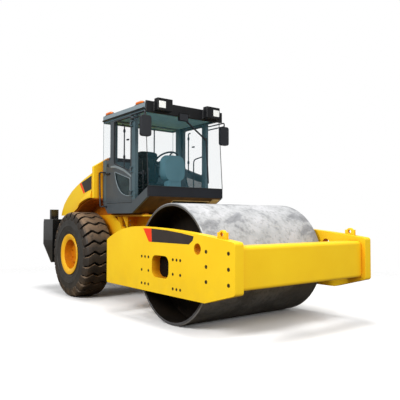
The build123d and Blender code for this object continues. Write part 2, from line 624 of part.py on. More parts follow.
def section_bar(half_points, length):
    """The section of a tyre at its foot, drawn out level along X."""
    with BuildPart() as bar:
        with BuildSketch(cross_plane(AXLE_X)):
            with BuildLine():
                Polyline(*[(y - WHEEL_Y, TYRE_RADIUS - r) for y, r in both_sides(half_points)],
                         close=True)
            make_face()
        extrude(amount=length / 2, both=True)
    return bar.part


with BuildPart() as tyre_facet:
    add(section_bar(CARCASS_SECTION, 0.3 * TYRE_RADIUS))
    with BuildSketch(side_plane(0)):
        with BuildLine():
            half_width = 1.2 * TYRE_RADIUS * tan(radians(90 / LUG_COUNT))
            Polyline((AXLE_X, TYRE_RADIUS), (AXLE_X - half_width, -0.2 * TYRE_RADIUS),
                     (AXLE_X + half_width, -0.2 * TYRE_RADIUS), close=True)
        make_face()
    extrude(amount=2 * WHEEL_Y, mode=Mode.INTERSECT)

lug_length = 2 * pi * TYRE_RADIUS / LUG_COUNT - LUG_GROOVE
with BuildPart() as tyre_lug:
    add(section_bar(LUG_SECTION, 2 * lug_length))
    with BuildSketch(Plane.XY):
        with BuildLine():
            wave = both_sides(LUG_WAVE)
            Polyline(*[(AXLE_X + shift - lug_length / 2, y - WHEEL_Y) for y, shift in wave],
                     *[(AXLE_X + shift + lug_length / 2, y - WHEEL_Y)
                       for y, shift in reversed(wave)], close=True)
        make_face()
    extrude(amount=TYRE_RADIUS, mode=Mode.INTERSECT)

with BuildPart() as tyre:
    for step in range(LUG_COUNT):
        turn = step * 360 / LUG_COUNT
        half_facet = 90 / LUG_COUNT
        add([tyre_facet.part.rotate(wheel_axis, turn - half_facet),
             tyre_facet.part.rotate(wheel_axis, turn + half_facet),
             tyre_lug.part.rotate(wheel_axis, turn)])
save_pair(tyre.part, "tyre")

# ----------------------------------------------------------------- hood and wings
with BuildPart() as bulkhead:
    with BuildSketch(cross_plane(BULKHEAD_X - BULKHEAD_THICKNESS)):
        with BuildLine():
            Polyline(
                (-HOOD_HALF_WIDTH, BULKHEAD_FOOT_Z), (-HOOD_HALF_WIDTH, BULKHEAD_SIDE_Z),
                (-HOOD_SHOULDER_Y, BULKHEAD_TOP_Z), (HOOD_SHOULDER_Y, BULKHEAD_TOP_Z),
                (HOOD_HALF_WIDTH, BULKHEAD_SIDE_Z), (HOOD_HALF_WIDTH, BULKHEAD_FOOT_Z), close=True,
            )
        make_face()
    extrude(amount=BULKHEAD_THICKNESS)
    with Locations((BULKHEAD_X, 0, FRAME_TOP_Z)):
        Box(BULKHEAD_THICKNESS, 2 * FRAME_INNER_Y, BULKHEAD_FOOT_Z - FRAME_TOP_Z,
            align=(Align.MAX, Align.CENTER, Align.MIN))
save(bulkhead.part, "bulkhead")

# Wheel-arch line: an arc from the bulkhead to its knee, then straight down to the tail
ARCH_FRONT = (AXLE_X + 490, FENDER_TOP_Z)
ARCH_CROWN = (AXLE_X + 130, FENDER_TOP_Z - 54)
ARCH_KNEE = (AXLE_X - 181, FENDER_TOP_Z - 191)
ARCH_REAR = (AXLE_X - 470, FENDER_TOP_Z - 310)


def arch_line(start_x, end_x, lift):
    """The wheel-arch line from one X back to another, raised by `lift`."""
    front, crown, knee, rear = [
        (x, z + lift) for x, z in (ARCH_FRONT, ARCH_CROWN, ARCH_KNEE, ARCH_REAR)]
    Line((start_x, front[1]), front)
    ThreePointArc(front, crown, knee)
    Polyline(knee, rear, (end_x, rear[1]))


with BuildPart() as fenders:
    # Wheel-arch sheet, and the wall that closes it down to the frame
    with BuildSketch(side_plane(-FRAME_OUTER_Y)):
        with BuildLine():
            arch_line(BULKHEAD_X, HOOD_HINGE_X + 30, 0)
            arch_line(BULKHEAD_X, HOOD_HINGE_X + 30, -FENDER_SHEET)
            Line((BULKHEAD_X, FENDER_TOP_Z), (BULKHEAD_X, FENDER_TOP_Z - FENDER_SHEET))
            Line((HOOD_HINGE_X + 30, ARCH_REAR[1]), (HOOD_HINGE_X + 30, ARCH_REAR[1] - FENDER_SHEET))
        make_face()
    extrude(amount=HOOD_HALF_WIDTH - FRAME_OUTER_Y - HOOD_SHEET - RUNNING_GAP)
    with BuildSketch(side_plane(-FRAME_INNER_Y)):
        with BuildLine():
            Line((BULKHEAD_X, FENDER_TOP_Z), ARCH_FRONT)
            ThreePointArc(ARCH_FRONT, ARCH_CROWN, ARCH_KNEE)
            Polyline(ARCH_KNEE, (AXLE_X - 400, FRAME_TOP_Z), (BULKHEAD_X, FRAME_TOP_Z),
                     (BULKHEAD_X, FENDER_TOP_Z))
        make_face()
    extrude(amount=FRAME_PLATE)
    mirror(about=Plane.XZ)
save(fenders.part, "fenders")

# Hood sections, from its front edge back: distance behind the rear axle, crest height
HOOD_SECTIONS = (
    (-(HOOD_FRONT_X - AXLE_X), 2300),
    (-100, 2205),
    (180, 2107),
    (400, 2015),
    (600, 1897),
    (760, 1775),
    (860, 1637),
    (892, 1560),
)
HOOD_SKIRT_Z = 1390
# Flared lip of the wheel arch: outwards from the hood's side, its height above the arch
# line at the hood's front edge and at the crown, and how far short of the knee it ends
LIP_SECTIONS = (
    (-RUNNING_GAP, 167, 128, 0),
    (35, 32, 30, 150),
)


def hood_crest(behind_axle):
    """Height of the hood's crest, between the sections of the table."""
    for (near, near_z), (far, far_z) in zip(HOOD_SECTIONS, HOOD_SECTIONS[1:]):
        if behind_axle <= far:
            return near_z + (far_z - near_z) * (behind_axle - near) / (far - near)
    return HOOD_SECTIONS[-1][1]


def lip_outline(out, front_height, crown_height, short):
    """Crescent over the wheel arch, reaching below the arch line that trims it."""
    front_x, crown_x, end_x = HOOD_FRONT_X, ARCH_CROWN[0], ARCH_KNEE[0] + short
    end_z = ARCH_KNEE[1] + short / 2
    with BuildSketch(side_plane(-HOOD_HALF_WIDTH - out)) as outline:
        with BuildLine():
            top = (front_x, ARCH_FRONT[1] + front_height)
            ThreePointArc(top, (crown_x, ARCH_CROWN[1] + crown_height), (end_x, end_z))
            Polyline((end_x, end_z), (end_x, end_z - 60), (front_x, ARCH_FRONT[1] - 60), top)
        make_face()
    return outline.sketch



def hood_section(behind_axle, crest_z, sheet):
    """One cross-section of the hood, shrunk inwards by the sheet thickness."""
    half = HOOD_HALF_WIDTH - sheet
    shoulder_z = crest_z - HOOD_SHOULDER_DROP - sheet
    with BuildSketch(cross_plane(AXLE_X - behind_axle)) as section:
        with BuildLine():
            Polyline(
                (-half, HOOD_SKIRT_Z - 200), (-half, max(shoulder_z, HOOD_SKIRT_Z - 100)),
                (-HOOD_SHOULDER_Y, crest_z - sheet), (HOOD_SHOULDER_Y, crest_z - sheet),
                (half, max(shoulder_z, HOOD_SKIRT_Z - 100)), (half, HOOD_SKIRT_Z - 200),
                close=True,
            )
        make_face()
    return section.sketch


hood_outer = loft([hood_section(back, crest, 0) for back, crest in HOOD_SECTIONS], ruled=True)
inner_rows = [(HOOD_SECTIONS[0][0] - 1, HOOD_SECTIONS[0][1]), *HOOD_SECTIONS[1:-2],
              (HOOD_SECTIONS[-2][0] - HOOD_SHEET, HOOD_SECTIONS[-2][1])]
hood_inner = loft([hood_section(back, crest, HOOD_SHEET) for back, crest in inner_rows], ruled=True)
GRILLE_HALF_WIDTH = 430
GRILLE_FRONT = 400          # grille opening, from the rear axle back
GRILLE_REAR = 830
with BuildPart() as hood:
    add(hood_outer)
    add(hood_inner, mode=Mode.SUBTRACT)
    lip = loft([lip_outline(*section) for section in LIP_SECTIONS], ruled=True)
    mirror(lip, about=Plane.XZ)
    # Everything under the wheel-arch line is cut away
    cut_half_width = HOOD_HALF_WIDTH + LIP_SECTIONS[-1][0] + 1
    with BuildSketch(side_plane(cut_half_width)):
        with BuildLine():
            arch_line(BULKHEAD_X, AXLE_X - 900, RUNNING_GAP)
            Polyline(
                (AXLE_X - 900, ARCH_REAR[1] + RUNNING_GAP), (AXLE_X - 900, HOOD_SKIRT_Z - 300),
                (BULKHEAD_X, HOOD_SKIRT_Z - 300), (BULKHEAD_X, FENDER_TOP_Z + RUNNING_GAP),
            )
        make_face()
    extrude(amount=2 * cut_half_width, mode=Mode.SUBTRACT)
    with Locations((AXLE_X - (GRILLE_FRONT + GRILLE_REAR) / 2, 0, FENDER_TOP_Z)):
        Box(GRILLE_REAR - GRILLE_FRONT, 2 * GRILLE_HALF_WIDTH, 600, mode=Mode.SUBTRACT)
    # Hinge lugs, one each side of the frame's
    for y in (-HOOD_HINGE_Y, HOOD_HINGE_Y):
        for side in (-1, 1):
            lug_y = y + side * (HOOD_HINGE_LUG / 2 + 5 + 10)
            with BuildSketch(side_plane(lug_y + 10)):
                with Locations((HOOD_HINGE_X, HOOD_HINGE_Z)):
                    Circle(HOOD_LUG_RADIUS)
                    Rectangle(HOOD_LUG_REACH, 2 * HOOD_LUG_RADIUS + 20,
                              align=(Align.MAX, Align.CENTER))
                    Circle(HOOD_PIN_RADIUS + SHAFT_CLEARANCE, mode=Mode.SUBTRACT)
            extrude(amount=20)
save(hood.part, "hood")

GRILLE_SLATS = 9
with BuildPart() as hood_grille:
    for row in range(GRILLE_SLATS):
        back = GRILLE_FRONT + (row + 0.5) * (GRILLE_REAR - GRILLE_FRONT) / GRILLE_SLATS
        with Locations((AXLE_X - back, 0, hood_crest(back) - 20)):
            Box(12, 2 * GRILLE_HALF_WIDTH, 30)
    # Side rails that follow the hood's crest
    bends = [back for back, _ in HOOD_SECTIONS if GRILLE_FRONT + 20 < back < GRILLE_REAR - 20]
    rail_line = [(AXLE_X - back, hood_crest(back) - 10)
                 for back in (GRILLE_FRONT + 20, *bends, GRILLE_REAR - 20)]
    for y in (GRILLE_HALF_WIDTH, 20 - GRILLE_HALF_WIDTH):
        with BuildSketch(side_plane(y)):
            with BuildLine():
                Polyline(*rail_line, *[(x, z - 30) for x, z in reversed(rail_line)], close=True)
            make_face()
        extrude(amount=20)
save(hood_grille.part, "hood_grille")

# -------------------------------------------------------------------------- cab
FLOOR_TOP_Z = CAB_BOTTOM_Z + FLOOR_THICKNESS
INNER_Y = CAB_HALF_WIDTH - CAB_WALL
FLOOR_FRONT_U = CAB_LENGTH - SKIRT_THICKNESS
FLOOR_FRONT_Z = SKIRT_BOTTOM_Z - 13
NOSE_SLOPE = (FLOOR_FRONT_Z - CAB_BOTTOM_Z) / (FLOOR_FRONT_U - CAB_NOSE_START)
with BuildPart() as cab_floor:
    with BuildSketch(side_plane(INNER_Y)):
        with BuildLine():
            Polyline(
                (CAB_X + CAB_TAIL_START, CAB_BOTTOM_Z), (CAB_X + CAB_NOSE_START, CAB_BOTTOM_Z),
                (CAB_X + FLOOR_FRONT_U, FLOOR_FRONT_Z),
                (CAB_X + FLOOR_FRONT_U, FLOOR_FRONT_Z + FLOOR_THICKNESS),
                (CAB_X + CAB_NOSE_START, FLOOR_TOP_Z),
                (CAB_X + CAB_TAIL_START + 28, FLOOR_TOP_Z), (CAB_X + REAR_WALL, TUB_REAR_Z),
                (CAB_X, TUB_REAR_Z), (CAB_X, TUB_REAR_Z - 48), close=True,
            )
        make_face()
    extrude(amount=2 * INNER_Y)
save(cab_floor.part, "cab_floor")

with BuildPart() as cab_sills:
    with BuildSketch(side_plane(-INNER_Y)):
        with BuildLine():
            Polyline(
                (CAB_X + CAB_TAIL_START, CAB_BOTTOM_Z), (CAB_X + CAB_NOSE_START, CAB_BOTTOM_Z),
                (CAB_X + FLOOR_FRONT_U, FLOOR_FRONT_Z),
                (CAB_X + FLOOR_FRONT_U, SKIRT_TOP_Z - 12),
                (CAB_X + PILLAR_START + PILLAR_WIDTH, PILLAR_FOOT_Z),
                (CAB_X + PILLAR_START, PILLAR_FOOT_Z), (CAB_X + PILLAR_START, SILL_TOP_Z),
                (CAB_X + DOOR_REAR_LOW - DOOR_GAP, SILL_TOP_Z),
                (CAB_X + DOOR_REAR_LOW - DOOR_GAP, TUB_REAR_Z),
                (CAB_X, TUB_REAR_Z), (CAB_X, TUB_REAR_Z - 48), close=True,
            )
        make_face()
    extrude(amount=CAB_WALL)
    mirror(about=Plane.XZ)
save(cab_sills.part, "cab_sills")

with BuildPart() as front_skirt:
    with Locations((CAB_FRONT_X, 0, SKIRT_BOTTOM_Z)):
        Box(SKIRT_THICKNESS, 2 * CAB_HALF_WIDTH, SKIRT_TOP_Z - SKIRT_BOTTOM_Z,
            align=(Align.MAX, Align.CENTER, Align.MIN))
save(front_skirt.part, "front_skirt")

RAIL_Z = CAB_EAVES_Z - RAIL_DEPTH
screen_top_x = CAB_FRONT_X - SCREEN_LEAN
with BuildPart() as cab_frame:
    # Bars of one side: x from the cab's rear face, y outwards, z
    for u0, u1, y0, y1, z0, z1 in (
        (PILLAR_START, PILLAR_START + PILLAR_WIDTH, CAB_HALF_WIDTH - 60, CAB_HALF_WIDTH,
         PILLAR_FOOT_Z, CAB_EAVES_Z),
        (DOOR_REAR_HIGH - 20, DOOR_REAR_HIGH + 70, INNER_Y - DOOR_GAP - 60, INNER_Y - DOOR_GAP,
         FLOOR_TOP_Z, CAB_EAVES_Z),
        (0, POST_SIZE, CAB_HALF_WIDTH - POST_SIZE, CAB_HALF_WIDTH, TUB_REAR_Z, WAIST_Z),
        (POST_SIZE, DOOR_REAR_LOW - DOOR_GAP, INNER_Y, CAB_HALF_WIDTH, TUB_REAR_Z, WAIST_Z),
        (REAR_WALL, DOOR_REAR_HIGH, INNER_Y - DOOR_GAP - 16, INNER_Y - DOOR_GAP, TUB_REAR_Z, WAIST_Z),
        (0, screen_top_x - CAB_X, CAB_HALF_WIDTH - 60, CAB_HALF_WIDTH, RAIL_Z, CAB_EAVES_Z),
    ):
        for side in (-1, 1):
            with Locations((CAB_X + (u0 + u1) / 2, side * (y0 + y1) / 2, (z0 + z1) / 2)):
                Box(u1 - u0, y1 - y0, z1 - z0)
    # Cross bars at the front and rear of the roof, and the rear wall
    for u0, u1, z0, z1 in (
        (0, POST_SIZE, RAIL_Z, CAB_EAVES_Z),
        (screen_top_x - CAB_X - POST_SIZE, screen_top_x - CAB_X, RAIL_Z, CAB_EAVES_Z),
        (0, REAR_WALL, TUB_REAR_Z, WAIST_Z),
        (DOOR_REAR_HIGH - 20, DOOR_REAR_HIGH + 70, RAIL_Z, CAB_EAVES_Z),
    ):
        with Locations((CAB_X + (u0 + u1) / 2, 0, (z0 + z1) / 2)):
            Box(u1 - u0, 2 * CAB_HALF_WIDTH - 60, z1 - z0)
    # Door hinges: two lugs and a pin on the front pillar, for each knuckle of the door
    for z in DOOR_HINGES_Z:
        for side in (-1, 1):
            with Locations((DOOR_HINGE_X, side * DOOR_HINGE_Y, z)):
                Cylinder(DOOR_PIN_RADIUS, 2 * KNUCKLE_HALF + 40)
            for lug_side in (-1, 1):
                lug_z = z + lug_side * (KNUCKLE_HALF + 14)
                with Locations((DOOR_HINGE_X, side * DOOR_HINGE_Y, lug_z)):
                    Cylinder(KNUCKLE_RADIUS, 16)
                with Locations((DOOR_HINGE_X + DOOR_HINGE_BACK, side * CAB_HALF_WIDTH, lug_z)):
                    Box(44, DOOR_HINGE_OUT + KNUCKLE_RADIUS, 16,
                        align=(Align.MIN, Align.MIN if side > 0 else Align.MAX, Align.CENTER))
save(cab_frame.part, "cab_frame")

with BuildPart() as cab_roof:
    roof_length = screen_top_x + ROOF_NOSE - CAB_X + ROOF_OVERHANG
    roof_half = CAB_HALF_WIDTH + ROOF_OVERHANG
    roof_middle = CAB_X - ROOF_OVERHANG + roof_length / 2
    with BuildSketch(Plane.XY.offset(CAB_EAVES_Z)) as roof_outline:
        with Locations((roof_middle, 0)):
            Rectangle(roof_length, 2 * roof_half)
        fillet(roof_outline.vertices().group_by(Axis.X)[0], radius=60)
    extrude(amount=ROOF_EDGE)
    with BuildSketch(Plane.XY.offset(CAB_EAVES_Z + ROOF_EDGE)):
        with Locations((roof_middle, 0)):
            RectangleRounded(roof_length - 2 * ROOF_LEDGE, 2 * roof_half - 2 * ROOF_LEDGE, 50)
    with BuildSketch(Plane.XY.offset(CAB_EAVES_Z + ROOF_EDGE + ROOF_CROWN)):
        with Locations((roof_middle, 0)):
            RectangleRounded(roof_length - 2 * ROOF_LEDGE - 2 * ROOF_INSET,
                             2 * roof_half - 2 * ROOF_LEDGE - 2 * ROOF_INSET, 30)
    loft()
save(cab_roof.part, "cab_roof")

with BuildPart() as windscreen:
    with BuildSketch(side_plane(CAB_HALF_WIDTH - GLASS)):
        with BuildLine():
            Polyline(
                (CAB_FRONT_X - GLASS, SKIRT_TOP_Z), (CAB_FRONT_X, SKIRT_TOP_Z),
                (screen_top_x + GLASS, CAB_EAVES_Z - 2), (screen_top_x, CAB_EAVES_Z - 2),
                close=True,
            )
        make_face()
    extrude(amount=2 * (CAB_HALF_WIDTH - GLASS))
save(windscreen.part, "windscreen")

with BuildPart() as quarter_glass:
    with BuildSketch(side_plane(-CAB_HALF_WIDTH + GLASS)):
        with BuildLine():
            Polyline(
                (CAB_X + PILLAR_START + PILLAR_WIDTH, PILLAR_FOOT_Z),
                (CAB_X + FLOOR_FRONT_U, SKIRT_TOP_Z - 12), (CAB_X + FLOOR_FRONT_U, SKIRT_TOP_Z),
                (CAB_FRONT_X - GLASS, SKIRT_TOP_Z),
                (screen_top_x, RAIL_Z), (CAB_X + PILLAR_START + PILLAR_WIDTH, RAIL_Z), close=True,
            )
        make_face()
    extrude(amount=GLASS)
    mirror(about=Plane.XZ)
save(quarter_glass.part, "quarter_glass")

with BuildPart() as rear_glass:
    with BuildSketch(cross_plane(CAB_X)):
        with Locations((0, WAIST_Z)):
            Rectangle(2 * CAB_HALF_WIDTH, RAIL_Z - WAIST_Z, align=(Align.CENTER, Align.MIN))
    extrude(amount=GLASS)
    with BuildSketch(side_plane(-CAB_HALF_WIDTH + GLASS)):
        with Locations((CAB_X + GLASS, WAIST_Z)):
            Rectangle(DOOR_REAR_HIGH - GLASS - DOOR_GAP, RAIL_Z - WAIST_Z,
                      align=(Align.MIN, Align.MIN))
    extrude(amount=GLASS)
    mirror(about=Plane.XZ)
save(rear_glass.part, "rear_glass")

# ------------------------------------------------------------------------ doors
WINDOW_ROUND = 35
STILE_FRONT = CAB_X + DOOR_FRONT - 30

# Upper window: its lower edge falls towards the front
with BuildSketch() as upper_window:
    with BuildLine():
        Polyline(
            (CAB_X + 400, WAIST_Z - 78), (STILE_FRONT, WAIST_Z - 255),
            (STILE_FRONT, DOOR_TOP_Z - 20), (CAB_X + 400, DOOR_TOP_Z - 20), close=True,
        )
    make_face()
    fillet(upper_window.vertices(), radius=WINDOW_ROUND)

# Lower window: a teardrop with a straight front edge and a round back
with BuildSketch() as lower_window:
    with BuildLine():
        teardrop_top = (CAB_X + 435, WAIST_Z - 228)
        teardrop_low = (CAB_X + 640, WAIST_Z - 572)
        teardrop_foot = (STILE_FRONT - 10, WAIST_Z - 653)
        ThreePointArc(teardrop_top, (CAB_X + 505, WAIST_Z - 420), teardrop_low)
        ThreePointArc(teardrop_low, (CAB_X + 790, WAIST_Z - 634), teardrop_foot)
        Polyline(teardrop_foot, (STILE_FRONT - 10, WAIST_Z - 370), teardrop_top)
    make_face()

with BuildPart() as door:
    with BuildSketch(side_plane(-INNER_Y)) as door_outline:
        with BuildLine():
            Polyline(
                (CAB_X + DOOR_REAR_LOW, SILL_TOP_Z + DOOR_GAP),
                (CAB_X + DOOR_FRONT, SILL_TOP_Z + DOOR_GAP), (CAB_X + DOOR_FRONT, DOOR_TOP_Z),
                (CAB_X + DOOR_REAR_HIGH, DOOR_TOP_Z),
                (CAB_X + DOOR_REAR_HIGH, WAIST_Z - DOOR_GAP),
                (CAB_X + DOOR_REAR_LOW, WAIST_Z - DOOR_GAP), close=True,
            )
        make_face()
        add(upper_window.sketch, mode=Mode.SUBTRACT)
        add(lower_window.sketch, mode=Mode.SUBTRACT)
    extrude(amount=CAB_WALL)
    # Hinge knuckles, each with a leaf on the door's outer face
    for z in DOOR_HINGES_Z:
        with Locations((DOOR_HINGE_X, -DOOR_HINGE_Y, z)):
            Cylinder(KNUCKLE_RADIUS, 2 * KNUCKLE_HALF)
        with Locations((CAB_X + DOOR_FRONT, -CAB_HALF_WIDTH, z)):
            Box(60, HINGE_LEAF, 2 * KNUCKLE_HALF, align=(Align.MAX, Align.MAX, Align.CENTER))
        with Locations((DOOR_HINGE_X, -DOOR_HINGE_Y, z)):
            Cylinder(DOOR_PIN_RADIUS + SHAFT_CLEARANCE, 2 * KNUCKLE_HALF, mode=Mode.SUBTRACT)
save_pair(door.part, "door")

with BuildPart() as door_glass:
    with BuildSketch(side_plane(-INNER_Y - CAB_WALL / 2)):
        add(upper_window.sketch)
        add(lower_window.sketch)
    extrude(amount=GLASS)
save_pair(door_glass.part, "door_glass")

# --------------------------------------------------------- inside and on the cab
with BuildPart() as seat:
    for u, size_x, size_y, z0, z1 in (
        (470, 380, 380, FLOOR_TOP_Z, 1900),
        (480, 500, 500, 1900, 2010),
        (270, 120, 460, 2010, 2480),
        (262, 90, 270, 2480, 2620),
    ):
        with Locations((CAB_X + u, 0, z0)):
            Box(size_x, size_y, z1 - z0, align=(Align.CENTER, Align.CENTER, Align.MIN))
save(seat.part, "seat")

DASH_X = CAB_X + 1000       # rear face of the round dash
DASH_DEPTH = 150
DASH_HALF_WIDTH = 212
DASH_HEIGHT = 460
DASH_TAPER = 6
DASH_Z = 2235
COLUMN_HALF_WIDTH = 120
WHEEL_HUB = (CAB_X + 890, 0, 2400)
WHEEL_TILT = -35
SHAFT_LENGTH = 230
with BuildPart() as console:
    with BuildSketch(side_plane(COLUMN_HALF_WIDTH)):
        with BuildLine():
            Polyline(
                (DASH_X - 40, FLOOR_TOP_Z), (CAB_X + CAB_NOSE_START, FLOOR_TOP_Z),
                (DASH_X + DASH_DEPTH, FLOOR_TOP_Z
                 + NOSE_SLOPE * (DASH_X + DASH_DEPTH - CAB_X - CAB_NOSE_START)),
                (DASH_X + DASH_DEPTH - 10, DASH_Z), (DASH_X + 20, DASH_Z), close=True,
            )
        make_face()
    extrude(amount=2 * COLUMN_HALF_WIDTH)
    with BuildSketch(cross_plane(DASH_X)):
        with Locations((0, DASH_Z)):
            RectangleRounded(2 * DASH_HALF_WIDTH, DASH_HEIGHT, 0.7 * DASH_HALF_WIDTH)
    extrude(amount=DASH_DEPTH, taper=DASH_TAPER)
    # Bore for the steering shaft
    with Locations(Location(WHEEL_HUB, (0, WHEEL_TILT, 0))):
        Cylinder(22 + SHAFT_CLEARANCE, SHAFT_LENGTH, align=(Align.CENTER, Align.CENTER, Align.MAX),
                 mode=Mode.SUBTRACT)
save(console.part, "console")

with BuildPart() as steering_wheel:
    with BuildSketch(cross_plane(0)):
        with Locations((205, 0)):
            RegularPolygon(15, 8)
    revolve(axis=Axis.Z)
    Cylinder(28, 30)
    with PolarLocations(100, 3):
        Box(200, 24, 14)
    Cylinder(22, SHAFT_LENGTH, align=(Align.CENTER, Align.CENTER, Align.MAX))
save(steering_wheel.part.locate(Location(WHEEL_HUB, (0, WHEEL_TILT, 0))), "steering_wheel")

MIRROR_AHEAD = 1478         # mirror head, from the cab's rear face
MIRROR_Y = CAB_HALF_WIDTH + 40
MIRROR_Z = CAB_EAVES_Z - 285
MIRROR_HEIGHT = 320
MIRROR_WIDTH = 180
MIRROR_DEPTH = 60
MIRROR_ROUND = 40
MIRROR_ARM = 11
with BuildPart() as mirrors:
    mirror_x = CAB_X + MIRROR_AHEAD
    arm_root_x = CAB_X + PILLAR_START + PILLAR_WIDTH / 2
    head_top_z = MIRROR_Z + MIRROR_HEIGHT / 2
    with Locations((mirror_x, -MIRROR_Y, MIRROR_Z)):
        Box(MIRROR_DEPTH, MIRROR_WIDTH, MIRROR_HEIGHT)
    fillet(mirrors.edges().filter_by(Axis.X), radius=MIRROR_ROUND)
    for arm_z, arm_end_z in ((head_top_z + 70, head_top_z), (head_top_z + 10, head_top_z + 10)):
        arm_points = [
            (arm_root_x, -CAB_HALF_WIDTH, arm_z),
            (arm_root_x, -MIRROR_Y - 10, arm_z),
            (mirror_x, -MIRROR_Y - 10, arm_z),
        ]
        if arm_end_z < arm_z:
            arm_points.append((mirror_x, -MIRROR_Y - 10, arm_end_z))
        with BuildLine() as arm_path:
            FilletPolyline(*arm_points, radius=25)
        with BuildSketch(Plane(arm_path.line @ 0, z_dir=arm_path.line % 0)):
            RegularPolygon(MIRROR_ARM, 8)
        sweep(path=arm_path.line)
    mirror(about=Plane.XZ)
save(mirrors.part, "mirrors")

WIPER_Y = 430
WIPER_BLADE = 770
WIPER_MID_Z = CAB_EAVES_Z - 735
WIPER_ARM_Z = CAB_EAVES_Z - 235
WIPER_ARM_Y = 210
WIPER_ARM_LENGTH = 530
WIPER_ARM_TURN = 55
WIPER_MOTOR_Z = CAB_EAVES_Z - 62
WIPER_MOTOR_Y = -50
screen_rise = CAB_EAVES_Z - 2 - SKIRT_TOP_Z
screen_lean = degrees(atan2(SCREEN_LEAN - GLASS, screen_rise))


def screen_x(z):
    """Outside face of the windscreen at height z."""
    return CAB_FRONT_X - (SCREEN_LEAN - GLASS) * (z - SKIRT_TOP_Z) / screen_rise


with BuildPart() as wiper:
    # Blade, arm and motor cover, all flat against the glass
    with Locations(Location((screen_x(WIPER_MID_Z) + 0.5, WIPER_Y, WIPER_MID_Z),
                            (0, -screen_lean, 0))):
        Box(22, 16, WIPER_BLADE, align=(Align.MIN, Align.CENTER, Align.CENTER))
    with Locations(Location((screen_x(WIPER_ARM_Z) + 0.5, WIPER_ARM_Y, WIPER_ARM_Z),
                            (0, -screen_lean, 0))):
        with Locations(Location((0, 0, 0), (WIPER_ARM_TURN, 0, 0))):
            Box(20, 20, WIPER_ARM_LENGTH, align=(Align.MIN, Align.CENTER, Align.CENTER))
    with Locations(Location((screen_x(WIPER_MOTOR_Z) + 0.5, WIPER_MOTOR_Y, WIPER_MOTOR_Z),
                            (0, -screen_lean, 0))):
        Box(55, 170, 110, align=(Align.MIN, Align.CENTER, Align.CENTER))
save(wiper.part, "wiper")

VISOR_DEPTH = 30            # black fascia across the roof's front
VISOR_HEIGHT = 122
VISOR_DROP = 55             # its lower lip, in front of the glass
LAMP_Y = 485
LAMP_DEPTH = 110
LAMP_WIDTH = 280
LAMP_HEIGHT = 195
with BuildPart() as work_lamps:
    visor_x = screen_top_x + ROOF_NOSE
    with Locations((visor_x, 0, CAB_EAVES_Z)):
        Box(VISOR_DEPTH, 2 * roof_half, VISOR_HEIGHT, align=(Align.MIN, Align.CENTER, Align.MIN))
    for y0, y1 in ((-roof_half, WIPER_MOTOR_Y - 100), (WIPER_MOTOR_Y + 100, roof_half)):
        with Locations((visor_x, (y0 + y1) / 2, CAB_EAVES_Z)):
            Box(VISOR_DEPTH, y1 - y0, VISOR_DROP, align=(Align.MIN, Align.CENTER, Align.MAX))
    for side in (-1, 1):
        with Locations((visor_x + VISOR_DEPTH, side * LAMP_Y, CAB_EAVES_Z - 30)):
            Box(LAMP_DEPTH, LAMP_WIDTH, LAMP_HEIGHT, align=(Align.MIN, Align.CENTER, Align.MIN))
save(work_lamps.part, "work_lamps")

with BuildPart() as indicator_lamps:
    for u in (177, 1198):
        for side in (-1, 1):
            with Locations((CAB_X + u, side * (roof_half - ROOF_LEDGE / 2), CAB_EAVES_Z + ROOF_EDGE)):
                Box(240, 70, 62, align=(Align.CENTER, Align.CENTER, Align.MIN))
save(indicator_lamps.part, "indicator_lamps")

RAIL_Y = CAB_HALF_WIDTH + 80
GRIP_TOP_Z = WAIST_Z - 215
GRIP_LOW_Z = SILL_TOP_Z - 49
with BuildPart() as grab_rails:
    with BuildLine() as rail_path:
        FilletPolyline(
            (CAB_X + 95, -CAB_HALF_WIDTH, GRIP_TOP_Z), (CAB_X + 95, -RAIL_Y, GRIP_TOP_Z),
            (CAB_X + 28, -RAIL_Y, GRIP_TOP_Z), (CAB_X + 60, -RAIL_Y, GRIP_LOW_Z),
            (CAB_X + 150, -RAIL_Y, GRIP_LOW_Z), (CAB_X + 150, -CAB_HALF_WIDTH, GRIP_LOW_Z),
            radius=28,
        )
    with BuildSketch(Plane(rail_path.line @ 0, z_dir=rail_path.line % 0)):
        RegularPolygon(14, 8)
    sweep(path=rail_path.line)
    mirror(about=Plane.XZ)
save(grab_rails.part, "grab_rails")
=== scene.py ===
"""Looks of the road roller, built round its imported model.

Lengths are in metres, or in millimetres where their name ends in _mm, in the
frame of the model: X points forward to the drum, Y to the machine's left and Z
up, with the floor at zero. Each sub-assembly is a class that holds its sizes
and builds its own pieces.
"""
from __future__ import annotations

import json
import logging
import math
from collections.abc import Iterator
from contextlib import contextmanager
from dataclasses import dataclass
from enum import Enum

import bpy
from mathutils import Matrix, Vector

